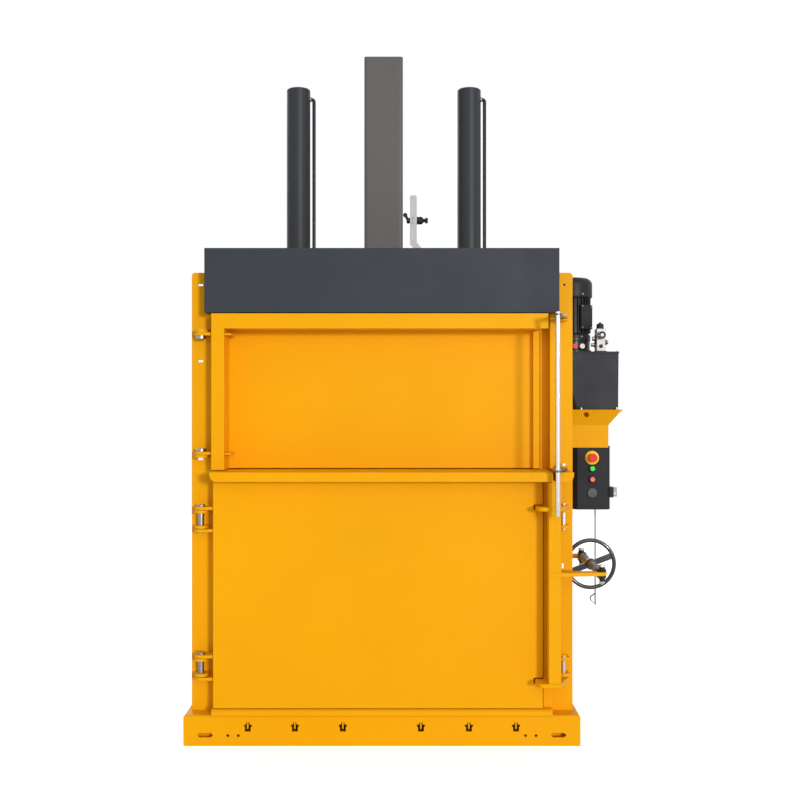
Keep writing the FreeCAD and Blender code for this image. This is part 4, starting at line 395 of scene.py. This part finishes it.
def dress_nodes():
    """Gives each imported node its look, and shades round surfaces smooth."""
    slots = {row["node"]: row["material_slot"] for row in frame["record"]["subparts"]}
    for name, obj in nodes.items():
        look = LOOKS[NODE_LOOKS.get(name, slots[name])]
        obj.data.materials.clear()
        obj.data.materials.append(look.material)
        shade_smooth(obj)


# --- Small hardware: helpers ----------------------------------------------------------

MERGE = 1e-6  # metres
UP, DOWN = (0, 0, 1), (0, 0, -1)
RIGHT, LEFT = (1, 0, 0), (-1, 0, 0)
BACK, FRONT = (0, 1, 0), (0, -1, 0)


def at(*point):
    """A place in metres, from millimetres."""
    return tuple(value / 1000 for value in point)


def finish_mesh(name, bm, look, body):
    """Makes a piece of the collected mesh, with its look and the body it rides."""
    mesh = bpy.data.meshes.new(name)
    bmesh.ops.remove_doubles(bm, verts=bm.verts, dist=MERGE)
    bmesh.ops.recalc_face_normals(bm, faces=bm.faces)
    bm.to_mesh(mesh)
    bm.free()
    obj = bpy.data.objects.new(name, mesh)
    bpy.context.collection.objects.link(obj)
    mesh.materials.append(LOOKS[look].material)
    shade_smooth(obj)
    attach(obj, body)


def solid_boxes(name):
    """The low and high corners of each separate solid of a node, in order along X."""
    bm = bmesh.new()
    bm.from_mesh(nodes[name].data)
    bmesh.ops.remove_doubles(bm, verts=bm.verts, dist=MERGE)
    left = set(bm.verts)
    boxes = []
    while left:
        todo = [left.pop()]
        points = []
        while todo:
            vert = todo.pop()
            points.append(vert.co * 1000)
            for edge in vert.link_edges:
                other = edge.other_vert(vert)
                if other in left:
                    left.remove(other)
                    todo.append(other)
        boxes.append(([min(p[i] for p in points) for i in range(3)],
                      [max(p[i] for p in points) for i in range(3)]))
    bm.free()
    return sorted(boxes)


def widest(name):
    """The box of the node's widest solid."""
    return max(solid_boxes(name), key=lambda box: box[1][0] - box[0][0])


def middle(low, high):
    """The centre of a box."""
    return [(a + b) / 2 for a, b in zip(low, high)]


def block(bm, low, high, broken=1.0):
    """A small plate with its edges broken, between two corners."""
    made = bmesh.ops.create_cube(bm, size=1)["verts"]
    low, high = Vector(low), Vector(high)
    for vert in made:
        vert.co = Vector(low[i] + (high[i] - low[i]) * (vert.co[i] + 0.5)
                         for i in range(3)) / 1000
    edges = dict.fromkeys(edge for vert in made for edge in vert.link_edges)
    bmesh.ops.bevel(bm, geom=list(edges), offset=broken / 1000, segments=2,
                    affect="EDGES")


def lathe(bm, profile, seat, axis, steps=32):
    """Turns a profile of (radius, along) pairs about an axis that starts at the seat."""
    turn = Vector(UP).rotation_difference(Vector(axis)).to_matrix().to_4x4()
    place = Matrix.Translation(Vector(at(*seat))) @ turn
    rings = []
    for radius, along in profile:
        circle = []
        for i in range(steps if radius > 0 else 1):
            angle = 2 * math.pi * i / steps
            point = at(radius * math.cos(angle), radius * math.sin(angle), along)
            circle.append(bm.verts.new(place @ Vector(point)))
        rings.append(circle)
    for low, high in zip(rings, rings[1:]):
        if len(low) == len(high) == 1:
            continue
        for i in range(steps):
            j = (i + 1) % steps
            if len(low) == 1:
                bm.faces.new((low[0], high[i], high[j]))
            elif len(high) == 1:
                bm.faces.new((low[i], low[j], high[0]))
            else:
                bm.faces.new((low[i], low[j], high[j], high[i]))


def hexagon(bm, seat, axis, across, high):
    """A chamfered hexagon head, standing on its seat. Its width is across the flats."""
    corner = across / math.sqrt(3)
    lathe(bm, [(0, 0), (corner, 0), (corner, high * 0.8), (corner * 0.88, high), (0, high)],
          seat, axis, 6)


def screw_head(bm, seat, axis, radius):
    """A socket screw head with its washer: radius and height as shares of the radius."""
    shares = ((0, 0), (1.7, 0), (1.7, 0.25), (1, 0.25), (1, 1.1), (0.85, 1.3), (0.5, 1.3),
              (0.45, 0.7), (0, 0.7))
    lathe(bm, [(radius * out, radius * along) for out, along in shares], seat, axis, 24)


WELD_STEP = 0.004  # metres from one ring of the bead to the next
WELD_SIDES = 8
RIPPLE = 0.12  # share of the radius that the ripples take, and their turn at each ring
RIPPLE_TURN = 2.1
UNEVEN = 0.05  # share of the radius that is left to chance


def weld(bm, start, end, radius):
    """A straight weld bead between two places: a rippled round seam, half of it sunk."""
    a = Vector(at(*start))
    b = Vector(at(*end))
    along = (b - a).normalized()
    side = along.orthogonal().normalized()
    up = along.cross(side)
    count = max(3, int((b - a).length / WELD_STEP))
    rings = []
    for i in range(count + 1):
        ripple = 1 + RIPPLE * math.sin(i * RIPPLE_TURN) + UNEVEN * random.uniform(-1, 1)
        centre = a.lerp(b, i / count)
        circle = []
        for k in range(WELD_SIDES):
            angle = 2 * math.pi * k / WELD_SIDES
            way = side * math.cos(angle) + up * math.sin(angle)
            circle.append(bm.verts.new(centre + way * (radius / 1000 * ripple)))
        rings.append(circle)
    for low, high in zip(rings, rings[1:]):
        for k in range(WELD_SIDES):
            m = (k + 1) % WELD_SIDES
            bm.faces.new((low[k], low[m], high[m], high[k]))
    bm.faces.new(list(reversed(rings[0])))
    bm.faces.new(rings[-1])


def ring_weld(bm, centre, radius, bead, count=36):
    """A weld bead round an upright axis."""
    x, y, z = centre
    turns = [2 * math.pi * i / count for i in range(count + 1)]
    points = [(x + radius * math.cos(turn), y + radius * math.sin(turn), z) for turn in turns]
    for start, end in zip(points, points[1:]):
        weld(bm, start, end, bead)


# --- Small hardware: pieces -----------------------------------------------------------

COLUMN_FACE = 0  # Y of the columns' front faces
SIDE_PLATE = 12  # thickness of the side frames' plates
BARREL_RADIUS = 54
COWL_RADIUS = 95
MOTOR_FOOT_RADIUS = 87
SUNK = 0.2  # how far a head stands in what it is seated on

# Radii of the weld beads
COLUMN_BEAD, CYLINDER_BEAD, RIB_BEAD, EAR_BEAD = 3, 3.2, 2.8, 2.4
DOOR_BEAD, TAB_BEAD, SEAM_BEAD = 2.2, 2, 1.2

# Radii of the screw heads
GUIDE_SCREW, COWL_SCREW, BOX_SCREW, LID_SCREW = 2.8, 2.7, 2.4, 3.2
SWITCH_PLATE_SCREW, LIMIT_SWITCH_SCREW = 1.9, 2.2


def frame_welds():
    """Beads where plates stand on the columns, on the base and on the rear sheet."""
    bm = bmesh.new()
    end = 2  # bare plate left at each end of a bead
    for name in ("left_hinge_ears", "right_hinge_ears", "latch_console"):
        for low, high in solid_boxes(name):
            left, right = low[0] + end, high[0] - end
            for z in (low[2], high[2]):
                weld(bm, (left, COLUMN_FACE, z), (right, COLUMN_FACE, z), EAR_BEAD)

    low, high = widest("side_frame_right")
    inside, outside = low[0] + 3, high[0] - 2
    plate = low[0] + SIDE_PLATE
    plate_front, plate_back = COLUMN_FACE + SIDE_PLATE + 2, high[1] - 4
    foot = low[2]
    for side in (-1, 1):
        weld(bm, (side * inside, COLUMN_FACE, foot), (side * outside, COLUMN_FACE, foot),
             COLUMN_BEAD)
        weld(bm, (side * plate, plate_front, foot), (side * plate, plate_back, foot),
             COLUMN_BEAD)

    end = 3
    for low, high in solid_boxes("rear_wall")[1:]:  # the ribs, after the sheet
        for z in (low[2], high[2]):
            weld(bm, (low[0] + end, low[1], z), (high[0] - end, low[1], z), RIB_BEAD)

    low, high = solid_boxes("screw_lug")[0]
    lug_front, lug_back, proud = low[1] + 8, high[1] - 32, 0.5
    for z in (low[2] - proud, high[2] + proud):
        weld(bm, (plate, lug_front, z), (plate, lug_back, z), EAR_BEAD)
    finish_mesh("frame_welds", bm, "yellow_paint", "machine")


def head_hardware():
    """Welds round the cylinders, screws in the mast's guides and bolts in the strip's foot."""
    top = solid_boxes("head_frame")[0][1][2]
    bm = bmesh.new()
    for low, high in solid_boxes("cylinder_rods"):
        x, y, _ = middle(low, high)
        ring_weld(bm, (x, y, top), BARREL_RADIUS, CYLINDER_BEAD)
    finish_mesh("cylinder_welds", bm, "yellow_paint", "machine")
    bm = bmesh.new()
    for low, high in solid_boxes("mast_guides"):
        long = 0 if high[0] - low[0] > high[1] - low[1] else 1
        for share in (0.2, 0.8):
            place = middle(low, high)
            place[long] = low[long] + (high[long] - low[long]) * share
            place[2] = high[2] - SUNK
            screw_head(bm, place, UP, GUIDE_SCREW)
    low, high = solid_boxes("switch_strip")[0]
    bolt_y, foot_thickness, bolt_across, bolt_high = low[1] + 24, 5, 13, 5.5
    for inset in (23.5, 7.5):
        seat = (high[0] - inset, bolt_y, top + foot_thickness - SUNK)
        hexagon(bm, seat, UP, bolt_across, bolt_high)
    finish_mesh("head_screws", bm, "bright_steel", "machine")


def lining_screws():
    """Flat screws that hold the boards of the door's lining."""
    narrowest, inset = 60, 20
    head = [(0, -1), (6.5, -1), (6.5, 0.4), (5.8, 0.9), (2.4, 0.9), (2.0, 0.1), (0, 0.1)]
    bm = bmesh.new()
    for low, high in solid_boxes("door_lining"):
        if high[0] - low[0] < narrowest:
            continue
        for x in (low[0] + inset, high[0] - inset):
            for share in (0.04, 0.35, 0.66, 0.96):
                z = low[2] + (high[2] - low[2]) * share
                lathe(bm, head, (x, high[1], z), BACK, 20)
    finish_mesh("lining_screws", bm, "bright_steel", "door")


def door_welds():
    """The bead between the door's sheet and the ledge on it."""
    low = solid_boxes("door_ledge")[0][0]
    sheet_low, sheet_high = widest("door_panel")
    left, right, y, z = low[0] + 3, sheet_high[0] - 9, sheet_low[1], low[2]
    bm = bmesh.new()
    weld(bm, (left, y, z), (right, y, z), DOOR_BEAD)
    finish_mesh("door_welds", bm, "yellow_paint", "door")


def lock_welds():
    """Beads where the claws and the arm pass the lock's bar, on its side and its back."""
    low, high = solid_boxes("lock_bar")[0]
    side, side_front, side_back = high[0], low[1] + 5, high[1] - 2
    back, back_left, back_right = high[1], low[0] + 6, high[0] - 5
    bm = bmesh.new()
    for plate_low, plate_high in solid_boxes("lock_claws") + solid_boxes("lock_arm"):
        for z in (plate_low[2], plate_high[2]):
            weld(bm, (side, side_front, z), (side, side_back, z), DOOR_BEAD)
            weld(bm, (back_left, back, z), (back_right, back, z), DOOR_BEAD)
    finish_mesh("lock_welds", bm, "yellow_paint", "lock")


def hatch_tabs():
    """Plates behind the hatch's left stile, in line with its hinge arms, and their welds."""
    lower_arm, upper_arm = solid_boxes("hatch_frame")[:2]
    panel_low = solid_boxes("hatch_panel")[0][0]
    left, right = panel_low[0] + 6, panel_low[0] + 34
    front, back = widest("hatch_frame")[0][1] + 6, panel_low[1] + 1
    thickness, end, sunk = 8, 2, 1
    bm = bmesh.new()

    # A fine bead over the upper hinge ear
    ear_low, ear_high = max(solid_boxes("left_hinge_ears"), key=lambda box: box[1][2])
    y, z = upper_arm[0][1] - SUNK, ear_high[2] + 2
    weld(bm, (ear_low[0] + 2, y, z), (ear_high[0] - 5, y, z), SEAM_BEAD)

    for arm_low, _ in (upper_arm, lower_arm):
        low_z, high_z = arm_low[2], arm_low[2] + thickness
        block(bm, (left, front, low_z), (right, back, high_z))
        for z in (low_z, high_z):
            weld(bm, (left + end, back - sunk, z), (right - end, back - sunk, z), TAB_BEAD)
    finish_mesh("hatch_tabs", bm, "yellow_paint", "hatch")


def anchor_pockets():
    """A folded pocket behind each anchor slot in the front of the base."""
    out, half, sheet = 725, 38, 4  # from the middle of the base, half the width, thickness
    low_z, high_z = 28, 60
    front = solid_boxes("base_frame")[0][0][1] + 8  # behind the base's front plate
    back = front + 32
    bm = bmesh.new()
    for side in (-1, 1):
        left, right = side * out - half, side * out + half
        block(bm, (left, back - sheet, low_z), (right, back, high_z))
        block(bm, (left, front, low_z), (right, back, low_z + sheet))
        block(bm, (left, front, high_z - sheet), (right, back, high_z))
    finish_mesh("anchor_pockets", bm, "yellow_paint", "machine")


def motor_screws():
    """Screws round the cowl and the motor's foot, and on the terminal box."""
    fan_x, fan_y, _ = middle(*solid_boxes("motor_fan")[0])
    centre = Vector((fan_x, fan_y, 0))
    cowl_low = solid_boxes("motor_cowl")[0][0]
    motor, box = solid_boxes("motor_body")

    def direction(degrees):
        angle = math.radians(degrees)
        return Vector((math.cos(angle), math.sin(angle), 0))

    sunk = 0.5
    cowl = (COWL_RADIUS - sunk, cowl_low[2] + 9)
    foot = (MOTOR_FOOT_RADIUS - sunk, motor[0][2] + 6)
    bm = bmesh.new()
    for turn in (25, 115, 205, 248, 295):
        way = direction(turn)
        for radius, z in (cowl, foot):
            screw_head(bm, centre + way * radius + Vector((0, 0, z)), way, COWL_SCREW)

    way = direction(-50)  # the terminal box faces front and right
    side = Vector((-way.y, way.x, 0))
    reach, half, inset = 93.8, 30, 7
    for along in (-half, half):
        for z in (box[0][2] + inset, box[1][2] - inset):
            seat = centre + way * reach + side * along + Vector((0, 0, z))
            screw_head(bm, seat, way, BOX_SCREW)
    finish_mesh("motor_screws", bm, "bright_steel", "machine")


def lid_screws():
    """Two rows of screws along the sides of the tank's lid."""
    low, high = solid_boxes("tank_lid")[0]
    side_inset, end_inset, sunk = 11, 12, 0.3
    bm = bmesh.new()
    for x in (low[0] + side_inset, high[0] - side_inset):
        for share in (0, 1 / 3, 2 / 3, 1):
            y = low[1] + end_inset + (high[1] - low[1] - 2 * end_inset) * share
            screw_head(bm, (x, y, high[2] - sunk), UP, LID_SCREW)
    finish_mesh("lid_screws", bm, "bright_steel", "machine")


def gauge_dial():
    """A black bowl with a pale plain face, set in the rim of the gauge."""
    low, high = solid_boxes("pressure_gauge")[0]
    x, _, z = middle(low, high)
    bowl_depth, face_depth = 3.1, 2.0
    bm = bmesh.new()
    lathe(bm, [(0, 0), (14.8, 0), (14.8, 2.6), (12.5, 2.2), (8.5, 1.2), (0, 1.2)],
          (x, low[1] + bowl_depth, z), FRONT)
    finish_mesh("gauge_bowl", bm, "black_plastic", "machine")
    bm = bmesh.new()
    lathe(bm, [(0, 0), (7.8, 0), (7.8, 0.9), (7.0, 1.3), (0, 1.3)],
          (x, low[1] + face_depth, z), FRONT)
    finish_mesh("gauge_face", bm, "white_plastic", "machine")


def valve_pieces_and_shade():
    """The block's base, the cap between block and coil, and nuts on its plugs, in black as
    painted shade.
    """
    low, high = solid_boxes("valve_block")[0]
    x = middle(low, high)[0]
    coil_y = middle(*solid_boxes("valve_coil")[0])[1]
    port_y = coil_y - 8
    upper_port, lower_port, side_plug, front_plug = (low[2] + rise for rise in (62, 34, 46, 28))
    rim, base_high = 5, 7
    bm = bmesh.new()
    block(bm, (low[0] - rim, low[1] - rim, low[2]),
          (high[0] + rim, high[1] + rim, low[2] + base_high))
    hexagon(bm, (x, coil_y, high[2] - SUNK), UP, 30, 9)
    hexagon(bm, (low[0] + SUNK, port_y, upper_port), LEFT, 26, 7)
    hexagon(bm, (low[0] + SUNK, port_y, lower_port), LEFT, 21, 9)
    hexagon(bm, (high[0] - SUNK, port_y, side_plug), RIGHT, 23, 8)
    lathe(bm, [(0, 0), (8.5, 0), (8.5, 4), (6.5, 5), (6.5, 9), (0, 9)],
          (x, low[1] + SUNK, front_plug), FRONT, 20)
    # The black of these pieces is painted shade at the block's foot, its left side and under
    # the coil.
    finish_mesh("valve_pieces_and_shade", bm, "black_metal", "machine")


def cable_glands():
    """Cable glands on the cabinet's back, each in a nut."""
    low, high = solid_boxes("control_cabinet")[0]
    centre, pitch, z = middle(low, high)[0], 42, low[2] + 40
    bm = bmesh.new()
    for x in (centre - pitch, centre, centre + pitch):
        lathe(bm, [(0, 0), (12.5, 0), (12.5, 3), (10.5, 3), (10.5, 12), (8.5, 17), (5.5, 18),
                   (5.5, 14), (0, 14)], (x, high[1] - SUNK, z), BACK, 24)
        hexagon(bm, (x, high[1] + 2.5, z), BACK, 23, 6)
    finish_mesh("cable_glands", bm, "black_plastic", "machine")


def switch_screws():
    """Screws on the main switch's plate and on the limit switch."""
    low, high = solid_boxes("cabinet_trims")[-1]  # the plate, farthest to the right
    _, y, z = middle(low, high)
    half = 17
    bm = bmesh.new()
    for y_shift in (-half, half):
        for z_shift in (-half, half):
            seat = (high[0] - SUNK, y + y_shift, z + z_shift)
            screw_head(bm, seat, RIGHT, SWITCH_PLATE_SCREW)
    strip_low = solid_boxes("switch_strip")[0][0]
    switch_low = solid_boxes("limit_switch")[0][0]
    x, y = strip_low[0] + 15.5, strip_low[1] + SUNK
    for rise in (8.5, 26.5):
        screw_head(bm, (x, y, switch_low[2] + rise), FRONT, LIMIT_SWITCH_SCREW)
    finish_mesh("switch_screws", bm, "bright_steel", "machine")


def fork_nuts():
    """Plated heads and nuts on the bolts of both forks of the screw."""
    bolt_inset, nut_high = 17, 8
    for name, node, front, body in (("front_fork_nuts", "front_fork", True, "front_link"),
                                    ("rear_fork_nuts", "rear_fork", False, "rear_link")):
        low, high = solid_boxes(node)[0]
        x = middle(low, high)[0]
        y = low[1] + bolt_inset if front else high[1] - bolt_inset
        bm = bmesh.new()
        hexagon(bm, (x, y, high[2] - SUNK), UP, 22, 9.5)
        hexagon(bm, (x, y, low[2] + SUNK), DOWN, 21, nut_high)
        lathe(bm, [(0, 0), (4.5, 0), (4.5, 4), (3.5, 5), (0, 5)],
              (x, y, low[2] + 2 * SUNK - nut_high), DOWN, 16)
        finish_mesh(name, bm, "pin_steel", body)


bpy.context.scene.view_settings.view_transform = "Standard"
make_camera()
make_world()
make_lights()
make_stage()
dress_nodes()
frame_welds()
head_hardware()
lining_screws()
door_welds()
lock_welds()
hatch_tabs()
anchor_pockets()
motor_screws()
lid_screws()
gauge_dial()
valve_pieces_and_shade()
cable_glands()
switch_screws()
fork_nuts()
